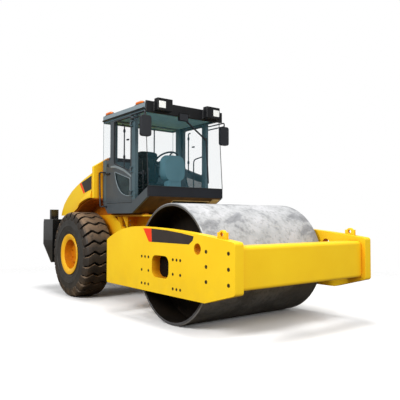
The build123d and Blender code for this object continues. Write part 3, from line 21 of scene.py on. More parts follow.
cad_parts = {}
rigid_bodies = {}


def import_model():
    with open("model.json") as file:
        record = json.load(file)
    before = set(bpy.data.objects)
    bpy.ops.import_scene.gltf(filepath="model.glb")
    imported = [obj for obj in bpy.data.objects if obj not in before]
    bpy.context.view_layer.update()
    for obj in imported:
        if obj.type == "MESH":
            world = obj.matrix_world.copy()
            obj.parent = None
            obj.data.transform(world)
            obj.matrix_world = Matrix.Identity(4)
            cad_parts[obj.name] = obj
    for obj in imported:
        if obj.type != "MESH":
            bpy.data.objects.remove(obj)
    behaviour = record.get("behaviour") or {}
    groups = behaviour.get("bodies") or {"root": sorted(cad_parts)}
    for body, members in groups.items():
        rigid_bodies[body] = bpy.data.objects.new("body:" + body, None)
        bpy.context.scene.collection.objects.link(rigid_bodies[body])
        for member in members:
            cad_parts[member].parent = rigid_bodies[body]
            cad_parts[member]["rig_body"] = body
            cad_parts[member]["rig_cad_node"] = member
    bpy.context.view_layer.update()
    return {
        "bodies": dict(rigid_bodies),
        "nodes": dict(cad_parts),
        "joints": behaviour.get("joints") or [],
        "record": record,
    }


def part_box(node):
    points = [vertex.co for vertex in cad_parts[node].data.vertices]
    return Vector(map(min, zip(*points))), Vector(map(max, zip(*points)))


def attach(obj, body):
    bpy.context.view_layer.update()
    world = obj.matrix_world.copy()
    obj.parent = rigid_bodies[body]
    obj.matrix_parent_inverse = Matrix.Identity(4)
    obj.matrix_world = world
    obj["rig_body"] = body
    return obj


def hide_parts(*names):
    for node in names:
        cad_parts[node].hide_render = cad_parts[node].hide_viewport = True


LOG = logging.getLogger("road_roller")
MM = 0.001
Piece = bpy.types.Object
Socket = bpy.types.NodeSocket


class Side(Enum):
    """The two sides of the machine, with the sign of Y on each."""

    RIGHT = -1
    LEFT = 1

    @property
    def label(self) -> str:
        """The word used in the names of nodes and bodies."""
        return self.name.lower()


class Axis(Enum):
    """Directions that pieces are turned about or drawn out along."""

    X = (1.0, 0.0, 0.0)
    Y = (0.0, 1.0, 0.0)
    Z = (0.0, 0.0, 1.0)

    @property
    def vector(self) -> Vector:
        """The direction as a vector."""
        return Vector(self.value)


# --- Materials
def linear(hex_colour: str) -> tuple[float, ...]:
    """Turns an sRGB hex colour to linear RGBA.

    Args:
        hex_colour: six hex digits after a hash sign.

    Returns:
        Linear red, green, blue and an alpha of one.
    """
    shares = [int(hex_colour[i:i + 2], 16) / 255 for i in (1, 3, 5)]
    return *(s / 12.92 if s <= 0.04045 else ((s + 0.055) / 1.055) ** 2.4 for s in shares), 1.0


class Nodes:
    """A node tree, with short ways to add to it."""

    def __init__(self, tree: bpy.types.NodeTree) -> None:
        """Takes the tree to add to."""
        self.tree = tree

    def fill(self, node: bpy.types.Node, sockets: dict) -> None:
        """Sets or links the inputs of a node.

        Args:
            node: the node.
            sockets: input name or number to a value, or to the output it is linked from.
        """
        for key, value in sockets.items():
            if isinstance(value, Socket):
                self.tree.links.new(value, node.inputs[key])
            else:
                node.inputs[key].default_value = value

    def add(self, kind: str, sockets: dict | None = None, **settings: object) -> bpy.types.Node:
        """Adds one node with its settings and links.

        Args:
            kind: the node's type, after the word that all types start with.
            sockets: its inputs, as in fill.
            settings: properties of the node itself.

        Returns:
            The new node.
        """
        node = self.tree.nodes.new(f"ShaderNode{kind}")
        for name, value in settings.items():
            setattr(node, name, value)
        self.fill(node, sockets or {})
        return node

    def mix(self, share: Socket, under: object, over: str) -> Socket:
        """Lays a hex colour over another colour, by a share."""
        node = self.add("Mix", {0: share, 6: under, 7: linear(over)}, data_type="RGBA")
        return node.outputs[2]

    def times(self, first: object, second: object) -> Socket:
        """Product of two values."""
        return self.add("Math", {0: first, 1: second}, operation="MULTIPLY").outputs[0]

    def spread(self, value: Socket, low: float, high: float, start: float = 0.0,
               end: float = 1.0) -> Socket:
        """Maps a value, so that `low` gives `start` and `high` gives `end`."""
        return self.add("MapRange", {"Value": value, "From Min": low, "From Max": high,
                                     "To Min": start, "To Max": end}).outputs["Result"]

    def place(self) -> Socket:
        """The place on the piece, in its own frame."""
        return self.add("TexCoord").outputs["Object"]

    def facing(self) -> Socket:
        """The direction in which the surface looks."""
        return self.add("NewGeometry").outputs["Normal"]

    def upward(self, vector: Socket) -> Socket:
        """The Z part of a vector."""
        return self.add("SeparateXYZ", {0: vector}).outputs["Z"]

    def seen(self) -> Socket:
        """One for what the camera sees and nought for what lights the scene."""
        return self.add("LightPath").outputs["Is Camera Ray"]

    def noise(self, size_mm: float, detail: float = 3.0, low: float = 0.35,
              high: float = 0.65) -> Socket:
        """Noise with features of a real size, stretched to run from 0 to 1.

        Args:
            size_mm: the size of its features.
            detail: how many finer layers it holds.
            low: the value that becomes nought.
            high: the value that becomes one.

        Returns:
            The noise.
        """
        cloud = self.add("TexNoise", {"Vector": self.place(), "Scale": 1 / (size_mm * MM),
                                      "Detail": detail, "Roughness": 0.6})
        return self.spread(cloud.outputs["Fac"], low, high)


@dataclass(frozen=True)
class Finish:
    """A surface as it was made: its colour, gloss, cloudiness, grain, dust and wear, and where set,
    painted shade in its nooks and painted light on its upward faces.
    """

    name: str
    colour: str
    roughness: float
    tone: str = ""              # colour of broad, faint patches
    tone_mm: float = 200        # size of those patches
    grain_mm: float = 5         # spacing of the fine relief
    grain_depth_mm: float = 0
    tone_share: float = 0.6
    metallic: float = 0
    coat: float = 0             # clear coat
    gloss_drift: float = 0.06   # how far roughness wanders over the surface
    specular: float = 0.5       # strength of the clear reflection
    dust: str = ""              # floor dust, which thins out upwards
    dust_share: float = 0.25
    dust_top: float = 0.9       # height at which it has faded out
    wear: str = ""              # what shows where an edge is rubbed bare
    wear_mm: float = 4
    nook: str = ""              # painted shade: a deeper colour laid into corners and holes
    nook_mm: float = 300
    nook_open: float = 0.85     # how open a place is where that colour has faded out
    settled: str = ""           # dry dust on upward faces, which also paints the light falling on their tops
    settled_share: float = 0.85

    def base(self, nodes: Nodes) -> object:
        """The colour before dust and wear: a plain one, with faint broad patches.

        Args:
            nodes: the nodes of the material.

        Returns:
            The colour.
        """
        if not self.tone:
            return linear(self.colour)
        share = nodes.times(nodes.noise(self.tone_mm), self.tone_share)
        return nodes.mix(share, linear(self.colour), self.tone)

    def rubbed(self, nodes: Nodes) -> Socket:
        """One on rubbed edges, broken up by noise, and nought on open faces.

        Args:
            nodes: the nodes of the material.

        Returns:
            The share of bare metal.
        """
        # Near an edge the rounded normal turns away from the true one, and their product drops
        rounded = nodes.add("Bevel", {"Radius": self.wear_mm * MM}, samples=4)
        turn = nodes.add("VectorMath", {0: rounded.outputs["Normal"], 1: nodes.facing()},
                         operation="DOT_PRODUCT")
        bare = nodes.spread(turn.outputs["Value"], 0.97, 0.86)
        return nodes.times(bare, nodes.noise(90, low=0.5, high=0.68))

    def weathered(self, nodes: Nodes) -> object:
        """The base under floor dust, painted shade in nooks, dust and painted light on upward faces,
        and wear.

        Args:
            nodes: the nodes of the material.

        Returns:
            The colour.
        """
        colour = self.base(nodes)
        if self.dust:
            low = nodes.spread(nodes.upward(nodes.place()), 0.1, self.dust_top, 1.0, 0.0)
            share = nodes.times(nodes.times(low, nodes.noise(160)), self.dust_share)
            colour = nodes.mix(share, colour, self.dust)
        # Painted shade: where ambient occlusion finds a corner or hole, the colour turns deeper
        if self.nook:
            shut = nodes.add("AmbientOcclusion", {"Distance": self.nook_mm * MM}, samples=4)
            deep = nodes.spread(shut.outputs["AO"], 0.25, self.nook_open, 1.0, 0.0)
            colour = nodes.mix(deep, colour, self.nook)
        # Dust and painted light: faces that look up in world space turn paler, and stay on top as a
        # piece turns
        if self.settled:
            lain = nodes.spread(nodes.upward(nodes.facing()), 0.2, 0.9)
            share = nodes.times(nodes.times(lain, nodes.noise(70, low=0.25, high=0.5)),
                                self.settled_share)
            colour = nodes.mix(share, colour, self.settled)
        if self.wear:
            colour = nodes.mix(self.rubbed(nodes), colour, self.wear)
        return colour

    def material(self) -> bpy.types.Material:
        """Makes the material with this finish, or finds it when it was made before.

        Returns:
            The material that all pieces with this finish share.
        """
        if self.name in bpy.data.materials:
            return bpy.data.materials[self.name]
        made = bpy.data.materials.new(self.name)
        made.use_nodes = True
        nodes = Nodes(made.node_tree)
        dull = self.roughness + self.gloss_drift
        inputs = {"Base Color": self.weathered(nodes), "Metallic": self.metallic,
                  "Coat Weight": self.coat, "Specular IOR Level": self.specular,
                  "Roughness": nodes.spread(nodes.noise(120), 0.0, 1.0, self.roughness, dull),
                  **self.extra()}
        if self.grain_depth_mm:
            relief = nodes.add("Bump", {"Height": nodes.noise(self.grain_mm, detail=2.0),
                                        "Distance": self.grain_depth_mm * MM, "Strength": 0.6})
            inputs["Normal"] = relief.outputs["Normal"]
        nodes.fill(made.node_tree.nodes["Principled BSDF"], inputs)
        return made

    def extra(self) -> dict:
        """What a special finish sets besides; a plain one sets nothing."""
        return {}


@dataclass(frozen=True)
class RolledSteel(Finish):
    """Rolled steel of the drum: its colour shows in fine smears, and its tone is a painted shade on the
    faces that look down.
    """

    # Where each shade of the dried slurry starts in the noise
    blotches: tuple = ((0.38, "#818284"), (0.465, "#96979A"), (0.49, "#ABACAD"),
                       (0.54, "#B5B6B7"), (0.62, "#C2C2C4"))

    def base(self, nodes: Nodes) -> Socket:
        """Crisp blotches of slurry, streaked round the drum, with a dark painted shade underneath.

        Args:
            nodes: the nodes of the material.

        Returns:
            The colour.
        """
        drawn = nodes.add("Mapping", {"Vector": nodes.place(), "Scale": (1.0, 0.7, 1.0)})
        cloud = nodes.add("TexNoise", {"Vector": drawn.outputs["Vector"], "Scale": 2.0,
                                       "Detail": 9.0, "Roughness": 0.66, "Distortion": 0.35})
        ramp = nodes.add("ValToRGB", {"Fac": cloud.outputs["Fac"]})
        stops = ramp.color_ramp.elements
        stops[0].position, stops[1].position = self.blotches[0][0], self.blotches[-1][0]
        for start, _ in self.blotches[1:-1]:
            stops.new(start)
        for stop, (_, shade) in zip(stops, self.blotches):
            stop.color = linear(shade)
        fine = nodes.times(nodes.noise(60, detail=8.0, low=0.52, high=0.62), 0.35)
        dried = nodes.mix(fine, ramp.outputs["Color"], self.colour)
        # Painted shade: faces that look down, in world space, fade into the dark tone
        underside_shade = nodes.spread(nodes.upward(nodes.facing()), -0.75, 0.30, 0.80, 0.0)
        return nodes.mix(underside_shade, dried, self.tone)


@dataclass(frozen=True)
class SheetGlass(Finish):
    """Tinted safety glass: a see-through sheet with a blue-green cast and a clean gloss."""

    alpha: float = 0.3

    def extra(self) -> dict:
        """Lets most of the light straight through."""
        return {"Alpha": self.alpha, "IOR": 1.5}


@dataclass(frozen=True)
class Lens(Finish):
    """Moulded polycarbonate lens, with a painted glow of its own colour that stands in for daylight on
    it.
    """

    glow: float = 0

    def extra(self) -> dict:
        """Adds the painted glow."""
        return {"Emission Color": linear(self.colour), "Emission Strength": self.glow}


# Each finish gives its name, colour and roughness, then the patches' colour and size, then the
# grain's spacing and depth, sizes in mm. What is special about it follows by name.
# Two-pack polyurethane enamel on steel plate: an even gloss with a faint orange peel, and a deep orange
# painted shade in its corners and holes
MACHINE_YELLOW = Finish(
    "machine_yellow_enamel", "#F8CF22", 0.33, "#F2C31B", 700, 6, 0.05, specular=0.22, dust="#9A7B3E",
    dust_share=0.22, dust_top=0.8, wear="#C99A1E", wear_mm=5, nook="#D97C0A", nook_open=0.92)
# The same enamel under the fenders, in a darker, redder colour that is painted shade, with broad
# patches
ARCH_SHADE_YELLOW = Finish(
    "arch_yellow_enamel", "#BE6A14", 0.55, "#7E3E08", 220, 5, 0.15, tone_share=0.7, specular=0.12)
# Yellow-orange enamel baked on the pressed wheel rims
RIM_YELLOW = Finish(
    "rim_yellow_enamel", "#F9C026", 0.32, "#F2AE1A", 200, 5, 0.05, specular=0.25, dust="#A8741E")
# Its dish, hub cap and nuts: the rim's enamel in a darker orange that is painted shade, with broad
# patches and deeper painted shade in the dish's corners
RIM_DISH_SHADE = Finish(
    "rim_dish_enamel", "#E08A08", 0.45, "#B8660A", 120, 5, 0.1, specular=0.2, nook="#BC6A08",
    nook_mm=200)
# Powder coat on the cab's pressed steel: satin grey with a fine, even texture
CAB_GREY = Finish(
    "cab_grey_powder_coat", "#474F54", 0.4, "#3C4348", 420, 2.5, 0.06, specular=0.4, wear="#7B8386")
# The same coat in a paler grey along the pressed ridge, as a painted highlight
RIDGE_HIGHLIGHT_GREY = Finish("ridge_grey_powder_coat", "#7C878B", 0.36, "#6A7579", 220, 2.5, 0.06, specular=0.4)
# Posts and rails of the cab, in a cooler grey
POST_GREY = Finish(
    "cab_post_powder_coat", "#4B6068", 0.4, "#3E525A", 400, 2.5, 0.06, specular=0.4, wear="#7F9197")
# The lighter grey of the roof's moulded shell
ROOF_GREY = Finish(
    "roof_grey_gelcoat", "#84939A", 0.36, "#6F7F87", 350, 3, 0.04, tone_share=0.5, specular=0.4)
# Headliner pressed from pale felt
HEADLINER = Finish("headliner_pale_felt", "#A6DDF2", 0.9, "#8FC9E0", 90, 2, 0.3, specular=0.1)
# Chassis black, sprayed on thick plate: low gloss, dusty where it is near the ground
CHASSIS_BLACK = Finish(
    "chassis_black_paint", "#1B1C20", 0.45, "#26272A", 300, 4, 0.08, specular=0.4, dust="#5E5546",
    dust_share=0.4, dust_top=1, wear="#55524C", wear_mm=5)
# Blue-black of the skirt below the windscreen
SKIRT_BLACK = Finish(
    "skirt_black_enamel", "#11141B", 0.36, "#181C24", 260, 3, 0.05, specular=0.4, wear="#4B5058")
# Floor pan of the cab, brown with dust from below
PAN_BROWN = Finish(
    "floor_pan_undercoat", "#6A4C2A", 0.7, "#3A2917", 260, 7, 0.3, tone_share=0.7, specular=0.2)
# Gloss black on the cast counterweight, with the casting's skin showing through
CAST_BLACK = Finish(
    "cast_black_enamel", "#0E0F10", 0.18, "#1D1F1E", 250, 9, 0.25, tone_share=0.7, coat=0.3,
    dust="#4E4A3A")
# The drum's rolled shell, smeared with dried slurry; its tone is the painted shade of its underside
DRUM_STEEL = RolledSteel(
    "drum_rolled_steel", "#6B6B6B", 0.46, "#2B2C29", grain_mm=16, grain_depth_mm=0.25, metallic=0.15,
    gloss_drift=0.22, specular=0.35)
# The machined corner of the shell, polished by the ground
EDGE_STEEL = Finish(
    "drum_edge_steel", "#A9ABAC", 0.34, "#77797A", 150, 4, 0.05, tone_share=0.7, metallic=0.4)
# Its flame-cut end face, darkened by scale
END_STEEL = Finish(
    "drum_end_scale", "#5C5C5E", 0.5, "#434345", 180, 5, 0.1, tone_share=0.7, metallic=0.3)
# Primer inside the drum, a near-black brown
DRUM_INSIDE = Finish(
    "drum_inner_primer", "#120D07", 0.7, "#241A10", 200, 8, 0.2, tone_share=0.7, specular=0.2)
# Engine and gearbox castings under plain grey primer
CASTING_GREY = Finish("casting_grey_primer", "#2E3032", 0.6, "#222325", 150, 5, 0.3, tone_share=0.7)
# Hard-chromed rod
ROD_CHROME = Finish("rod_hard_chrome", "#D8DADC", 0.12, metallic=1, gloss_drift=0.04)
# Black enamel of the parts behind the plates, dull, and darkened to near black as painted shade
SHADE_BLACK = Finish(
    "oily_black_enamel", "#070504", 0.6, "#100C09", 140, 5, 0.15, tone_share=0.7, specular=0.12)
# Zinc-plated bolts, dulled outdoors
BOLT_ZINC = Finish("bolt_zinc_plate", "#6C6A64", 0.4, "#4A4640", 20, tone_share=0.7, metallic=0.8)
# Blackened socket bolts; the dark brown of their raised rings is painted shade that stands in for the
# holes they sit in
BOLT_BLACK_AND_HOLE_SHADE = Finish("bolt_black_oxide", "#2E2410", 0.5, "#1C160B", 20, tone_share=0.7, specular=0.3)
# Natural-rubber tread, scuffed brown by the ground; paler on upward faces with dust and painted top
# light, and its pale rubbed edges also paint the lugs' edge highlights
TYRE_TREAD = Finish(
    "tyre_tread_rubber", "#2A2521", 0.6, "#3C332B", 150, 6, 0.3, specular=0.35, dust="#6E5A42",
    dust_share=0.6, dust_top=0.7, wear="#7E7063", wear_mm=7, settled="#8C7258")
# Bottoms of the grooves, painted near black as the shade between the lugs
TYRE_GROOVE_SHADE = Finish("tyre_groove_rubber", "#0C0A08", 0.85, "#15110D", 80, 4, 0.1, specular=0.1)
# Moulded sidewall: smoother than the tread
TYRE_WALL = Finish(
    "tyre_sidewall_rubber", "#2D2C2A", 0.48, "#3C3A37", 160, 4, 0.12, specular=0.4, dust="#51473C",
    dust_share=0.2, dust_top=1)
# Extruded rubber seal round the glass
SEAL_RUBBER = Finish("seal_black_rubber", "#15171A", 0.6, "#1E2124", 60, 2, 0.05, tone_share=0.5)
# The pale bonded edge that frames the door's lower window
SEAL_PALE = Finish("seal_pale_grey", "#7C888E", 0.45, "#69767C", 80, 2, 0.03, tone_share=0.5)
# Injection-moulded ABS with a leather-like grain
TRIM_BLACK = Finish("trim_black_abs", "#12161D", 0.45, "#1B2028", 200, 2.5, 0.12, tone_share=0.5)
# Housings of the roof lamps, moulded in deep black
LAMP_BLACK = Finish(
    "lamp_housing_black_abs", "#07080B", 0.4, "#0E1014", 120, 2.5, 0.1, tone_share=0.5, specular=0.35)
# Blue-grey ABS of the console, with the same grain
TRIM_TEAL = Finish("trim_grey_abs", "#4C727D", 0.5, "#3F636E", 200, 2.5, 0.1, tone_share=0.5)
# Woven seat cloth over foam
SEAT_CLOTH = Finish("seat_woven_cloth", "#151F21", 0.85, "#0E1618", 60, 4, 0.6, specular=0.2)
# Gloss vinyl of the stripes
STRIPE_BLACK = Finish(
    "stripe_black_vinyl", "#332C29", 0.4, "#3C3532", 150, tone_share=0.5, specular=0.3)
STRIPE_RED = Finish("stripe_red_vinyl", "#F2401A", 0.4, "#E63A16", 150, tone_share=0.5, specular=0.3)
# Tinted safety glass
CAB_GLASS = SheetGlass("cab_tinted_glass", "#62AEC2", 0.03, gloss_drift=0.01, alpha=0.032)
# The panes beside the windscreen, of a greyer glass
SIDE_GLASS = SheetGlass("cab_side_tinted_glass", "#35565A", 0.04, gloss_drift=0.01, alpha=0.022)
# The deeper tint of the doors' lower panes
DEEP_GLASS = SheetGlass(
    "cab_deep_tinted_glass", "#1A2A2C", 0.05, "#2C4143", 160, tone_share=0.8, gloss_drift=0.02,
    alpha=0.62)
# Beige enamel on the bracket and frame under the nose
BRACKET_BEIGE = Finish("bracket_beige_enamel", "#C8AE7A", 0.5, "#B39A66", 90, 4, 0.08, specular=0.3)
# Silvered glass of the mirrors
MIRROR_GLASS = Finish("mirror_silvered_glass", "#E6EAEC", 0.03, metallic=1, gloss_drift=0.01)
# Amber lenses of the indicators and clear ones of the work lamps, the clear ones with a painted glow
AMBER_LENS = Lens(
    "lens_amber_polycarbonate", "#DE7420", 0.2, "#CB5A12", 60, tone_share=0.7, gloss_drift=0.03)
CLEAR_LENS = Lens(
    "lens_clear_polycarbonate", "#E9EAE6", 0.12, "#BFC4C4", 25, tone_share=0.7, gloss_drift=0.03,
    glow=0.25)



# --- Modelling
def activate(obj: Piece) -> Piece:
    """Selects one object alone and makes it the active one.

    Args:
        obj: the object.

    Returns:
        The same object.
    """
    for other in bpy.context.selected_objects:
        other.select_set(False)
    obj.select_set(True)
    bpy.context.view_layer.objects.active = obj
    return obj


def twin(model: Piece) -> Piece:
    """A copy of an object with a mesh of its own.

    Args:
        model: what is copied.

    Returns:
        The copy.
    """
    copy = model.copy()
    copy.data = model.data.copy()
    bpy.context.scene.collection.objects.link(copy)
    return copy


@contextmanager
def editing(obj: Piece) -> Iterator[None]:
    """Edit mode on one object, with its whole mesh selected.

    Args:
        obj: the object.
    """
    activate(obj)
    bpy.ops.object.mode_set(mode="EDIT")
    bpy.ops.mesh.select_all(action="SELECT")
    yield
    bpy.ops.object.mode_set(mode="OBJECT")


def settle(obj: Piece) -> Piece:
    """Moves an object's place, turn and scale into its mesh.

    Args:
        obj: the object.

    Returns:
        The same object.
    """
    activate(obj)
    bpy.ops.object.transform_apply(location=True, rotation=True, scale=True)
    return obj


def modify(obj: Piece, kind: str, **settings: object) -> Piece:
    """Adds a modifier and applies it.

    Args:
        obj: the object.
        kind: the modifier's type.
        settings: its settings.

    Returns:
        The same object.
    """
    activate(obj)
    modifier = obj.modifiers.new(kind.title(), kind)
    for name, value in settings.items():
        setattr(modifier, name, value)
    bpy.ops.object.modifier_apply(modifier=modifier.name)
    return obj


def smooth(obj: Piece, angle: float = 35.0) -> Piece:
    """Shades an object smooth, but for its sharp edges.

    Args:
        obj: the object.
        angle: edges sharper than this, in degrees, stay sharp.

    Returns:
        The same object.
    """
    activate(obj)
    bpy.ops.object.shade_smooth_by_angle(angle=math.radians(angle))
    return obj


def soften(obj: Piece, round_mm: float, segments: int = 2, angle: float = 30.0) -> Piece:
    """Rounds the sharp edges of an object, or with no width only shades it.

    Args:
        obj: the object.
        round_mm: width of the rounding.
        segments: faces across each rounding.
        angle: edges sharper than this, in degrees, are rounded.

    Returns:
        The same object.
    """
    if not round_mm:
        return smooth(obj, angle)
    modify(obj, "BEVEL", width=round_mm * MM, segments=segments, limit_method="ANGLE",
           angle_limit=math.radians(angle), harden_normals=False)
    smooth(obj, max(angle, 35.0))
    return modify(obj, "WEIGHTED_NORMAL", keep_sharp=True)


def clean(obj: Piece, gap: float = 1e-5) -> Piece:
    """Merges doubled vertices and turns every face outwards.

    Args:
        obj: the object.
        gap: vertices closer than this are merged.

    Returns:
        The same object.
    """
    with editing(obj):
        bpy.ops.mesh.remove_doubles(threshold=gap)
        bpy.ops.mesh.normals_make_consistent(inside=False)
        bpy.ops.mesh.select_all(action="DESELECT")
    return obj


def block(low: tuple, high: tuple, round_mm: float = 0.0, segments: int = 2) -> Piece:
    """A box with rounded edges.

    Args:
        low: one of its corners.
        high: the corner across from it.
        round_mm: width of the rounding.
        segments: faces across each rounding.

    Returns:
        The new object.
    """
    middle = [(a + b) / 2 for a, b in zip(low, high)]
    bpy.ops.mesh.primitive_cube_add(size=1.0, location=middle)
    obj = bpy.context.active_object
    obj.scale = [abs(b - a) for a, b in zip(low, high)]
    settle(obj)
    return soften(obj, round_mm, segments) if round_mm else obj


def cylinder(centre: tuple, radius: float, depth: float, sides: int,
             round_mm: float = 0.0) -> Piece:
    """A round bar, disc or nut that lies along Y.

    Args:
        centre: its middle.
        radius: its radius to its corners.
        depth: its length along Y.
        sides: faces round it.
        round_mm: width of the rounding.

    Returns:
        The new object.
    """
    turn = Axis.Z.vector.rotation_difference(Axis.Y.vector).to_euler()
    bpy.ops.mesh.primitive_cylinder_add(vertices=sides, radius=radius, depth=depth,
                                        location=centre, rotation=turn)
    obj = settle(bpy.context.active_object)
    return soften(obj, round_mm) if round_mm else smooth(obj)


def prism(outline: list[tuple], start: float, end: float, axis: Axis = Axis.Y,
          round_mm: float = 0.0) -> Piece:
    """A plate with any outline.

    Args:
        outline: its corners, (x, z) for a plate drawn out along Y and (y, z) along X.
        start: where the plate starts along the axis.
        end: where it ends.
        axis: the direction it is drawn out in.
        round_mm: width of the rounding.

    Returns:
        The new object.
    """
    bpy.ops.mesh.primitive_circle_add(vertices=len(outline), radius=1.0, fill_type="NGON")
    obj = bpy.context.active_object
    for corner, (a, b) in zip(obj.data.vertices, outline):
        corner.co = (start, a, b) if axis is Axis.X else (a, start, b)
    with editing(obj):
        bpy.ops.mesh.extrude_region_move(
            TRANSFORM_OT_translate={"value": axis.vector * (end - start)})
    clean(obj)
    return soften(obj, round_mm) if round_mm else obj


def lathe(profile: list[tuple], centre: Vector, steps: int, axis: Axis = Axis.Y) -> Piece:
    """A turned piece.

    Args:
        profile: closed outline of (place along the axis, radius) from the centre.
        centre: a point on the axis.
        steps: faces round the axis.
        axis: the direction of the axis, Y or Z.

    Returns:
        The new object.
    """
    bpy.ops.mesh.primitive_circle_add(vertices=len(profile), radius=1.0, fill_type="NOTHING")
    obj = bpy.context.active_object
    for corner, (along, radius) in zip(obj.data.vertices, profile):
        corner.co = centre + axis.vector * along + Axis.X.vector * radius
    with editing(obj):
        bpy.ops.mesh.spin(steps=steps, angle=2 * math.pi, center=centre, axis=axis.vector)
    return smooth(clean(obj, 1e-6), 30.0)


def tube(points: list[tuple], radius: float, bend: float = 0.03, sides: int = 6) -> Piece:
    """A bent tube with rounded corners.

    Args:
        points: the corners of its route.
        radius: half its thickness.
        bend: how far before a corner each bend starts.
        sides: resolution of a quarter of its section.

    Returns:
        The new object.
    """
    route: list[Vector] = [Vector(points[0])]
    for before, corner, after in zip(points, points[1:], points[2:]):
        here = Vector(corner)
        back, on = Vector(before) - here, Vector(after) - here
        reach = min(bend, back.length * 0.45, on.length * 0.45)
        first, last = here + back.normalized() * reach, here + on.normalized() * reach
        for share in (step / 5 for step in range(6)):
            route.append(first.lerp(here, share).lerp(here.lerp(last, share), share))
    route.append(Vector(points[-1]))
    curve = bpy.data.curves.new("tube", "CURVE")
    curve.dimensions = "3D"
    curve.bevel_depth = radius
    curve.bevel_resolution = sides
    curve.use_fill_caps = True
    line = curve.splines.new("POLY")
    line.points.add(len(route) - 1)
    for point, place in zip(line.points, route):
        point.co = (*place, 1.0)
    obj = bpy.data.objects.new("tube", curve)
    bpy.context.scene.collection.objects.link(obj)
    activate(obj)
    bpy.ops.object.convert(target="MESH")
    return smooth(clean(bpy.context.active_object))


def join(parts: list[Piece]) -> Piece:
    """Joins several objects into one mesh.

    Args:
        parts: the objects, which are used up.

    Returns:
        The joined object.
    """
    activate(parts[0])
    for part in parts:
        part.select_set(True)
    bpy.ops.object.join()
    return parts[0]


def copies(model: Piece, offsets: list[tuple]) -> Piece:
    """Copies a model to each offset and uses it up.

    Args:
        model: what is copied.
        offsets: how far each copy is moved.

    Returns:
        The copies, joined into one mesh.
    """
    parts = [twin(model) for _ in offsets]
    for part, offset in zip(parts, offsets):
        part.data.transform(Matrix.Translation(offset))
    bpy.data.objects.remove(model)
    return join(parts)


def mirrored(model: Piece) -> Piece:
    """A copy on the machine's other side, with its faces turned outwards again.

    Args:
        model: what is mirrored.

    Returns:
        The copy.
    """
    copy = twin(model)
    copy.data.transform(Matrix.Diagonal((1, -1, 1, 1)))
    copy.data.flip_normals()
    return copy


def around(centre: Vector, angle: float, radius: float, across: float) -> Vector:
    """A place round an axis along Y: its angle in radians, its radius and its place along it."""
    return centre + Vector((math.cos(angle) * radius, across, math.sin(angle) * radius))


def reach_of(face: bpy.types.MeshPolygon, centre: Vector) -> float:
    """How far a face lies from an axis along Y."""
    return math.hypot(face.center.x - centre.x, face.center.z - centre.z)


def box_centre(node: str) -> Vector:
    """The middle of a node's box."""
    low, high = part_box(node)
    return (Vector(low) + Vector(high)) / 2


@dataclass
class Assembly:
    """A sub-assembly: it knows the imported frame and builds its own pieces."""

    frame: dict

    def body_of(self, node: str) -> str:
        """The body that a node of the model moves with."""
        bodies = self.frame["record"]["behaviour"]["bodies"]
        return next(name for name, nodes in bodies.items() if node in nodes)

    def add(self, name: str, obj: Piece, node: str, *finishes: Finish, replaces: bool = False,
            slot: str = "") -> Piece:
        """Gives a finished piece its name, its materials and the body of a node.

        Args:
            name: its name.
            obj: the piece.
            node: the node that it belongs with.
            finishes: its finishes, in the order of its faces' material numbers.
            replaces: whether it stands for that node.
            slot: its material slot, where it isn't the node's own; not used.

        Returns:
            The same piece.
        """
        obj.name = name
        for finish in finishes:
            obj.data.materials.append(finish.material())
        body = self.body_of(node)
        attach(obj, body)
        if replaces:
            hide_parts(node)
        LOG.info("%s rides on %s: %d faces", name, body, len(obj.data.polygons))
        return obj

    def add_pair(self, name: str, obj: Piece, node: str, *finishes: Finish) -> None:
        """Adds a piece of the right side and its mirror image on the left.

        Args:
            name: their name, without its side.
            obj: the piece on the right side.
            node: the node they belong with, without its side where each side has its own.
            finishes: their finishes.
        """
        for side, piece in ((Side.RIGHT, obj), (Side.LEFT, mirrored(obj))):
            own = node if node in self.frame["nodes"] else f"{node}_{side.label}"
            self.add(f"{name}_{side.label}", piece, own, *finishes)

    def copy_of(self, node: str, round_mm: float, segments: int = 2,
                angle: float = 30.0) -> Piece:
        """A copy of a node of the model with its edges rounded, as soften does it.

        Args:
            node: the node's name.
            round_mm: width of the rounding, or nought to leave the edges as they are.
            segments: faces across each rounding.
            angle: edges sharper than this, in degrees, are rounded or kept sharp.

        Returns:
            The copy, without its finish.
        """
        obj = twin(self.frame["nodes"][node])
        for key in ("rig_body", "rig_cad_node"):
            if key in obj:
                del obj[key]
        obj.parent = None
        obj.data.materials.clear()
        clean(obj)
        with editing(obj):
            bpy.ops.mesh.dissolve_limited(angle_limit=math.radians(0.5))
        return soften(obj, round_mm, segments, angle)

    def dress(self, *rows: tuple) -> None:
        """Replaces nodes by copies with rounded edges.

        Args:
            rows: node, finish and the further arguments of copy_of.
        """
        for node, finish, *rounding in rows:
            self.add(f"{node}_finished", self.copy_of(node, *rounding), node, finish, replaces=True)

    def build(self) -> None:
        """Builds every piece of the sub-assembly."""
        raise NotImplementedError


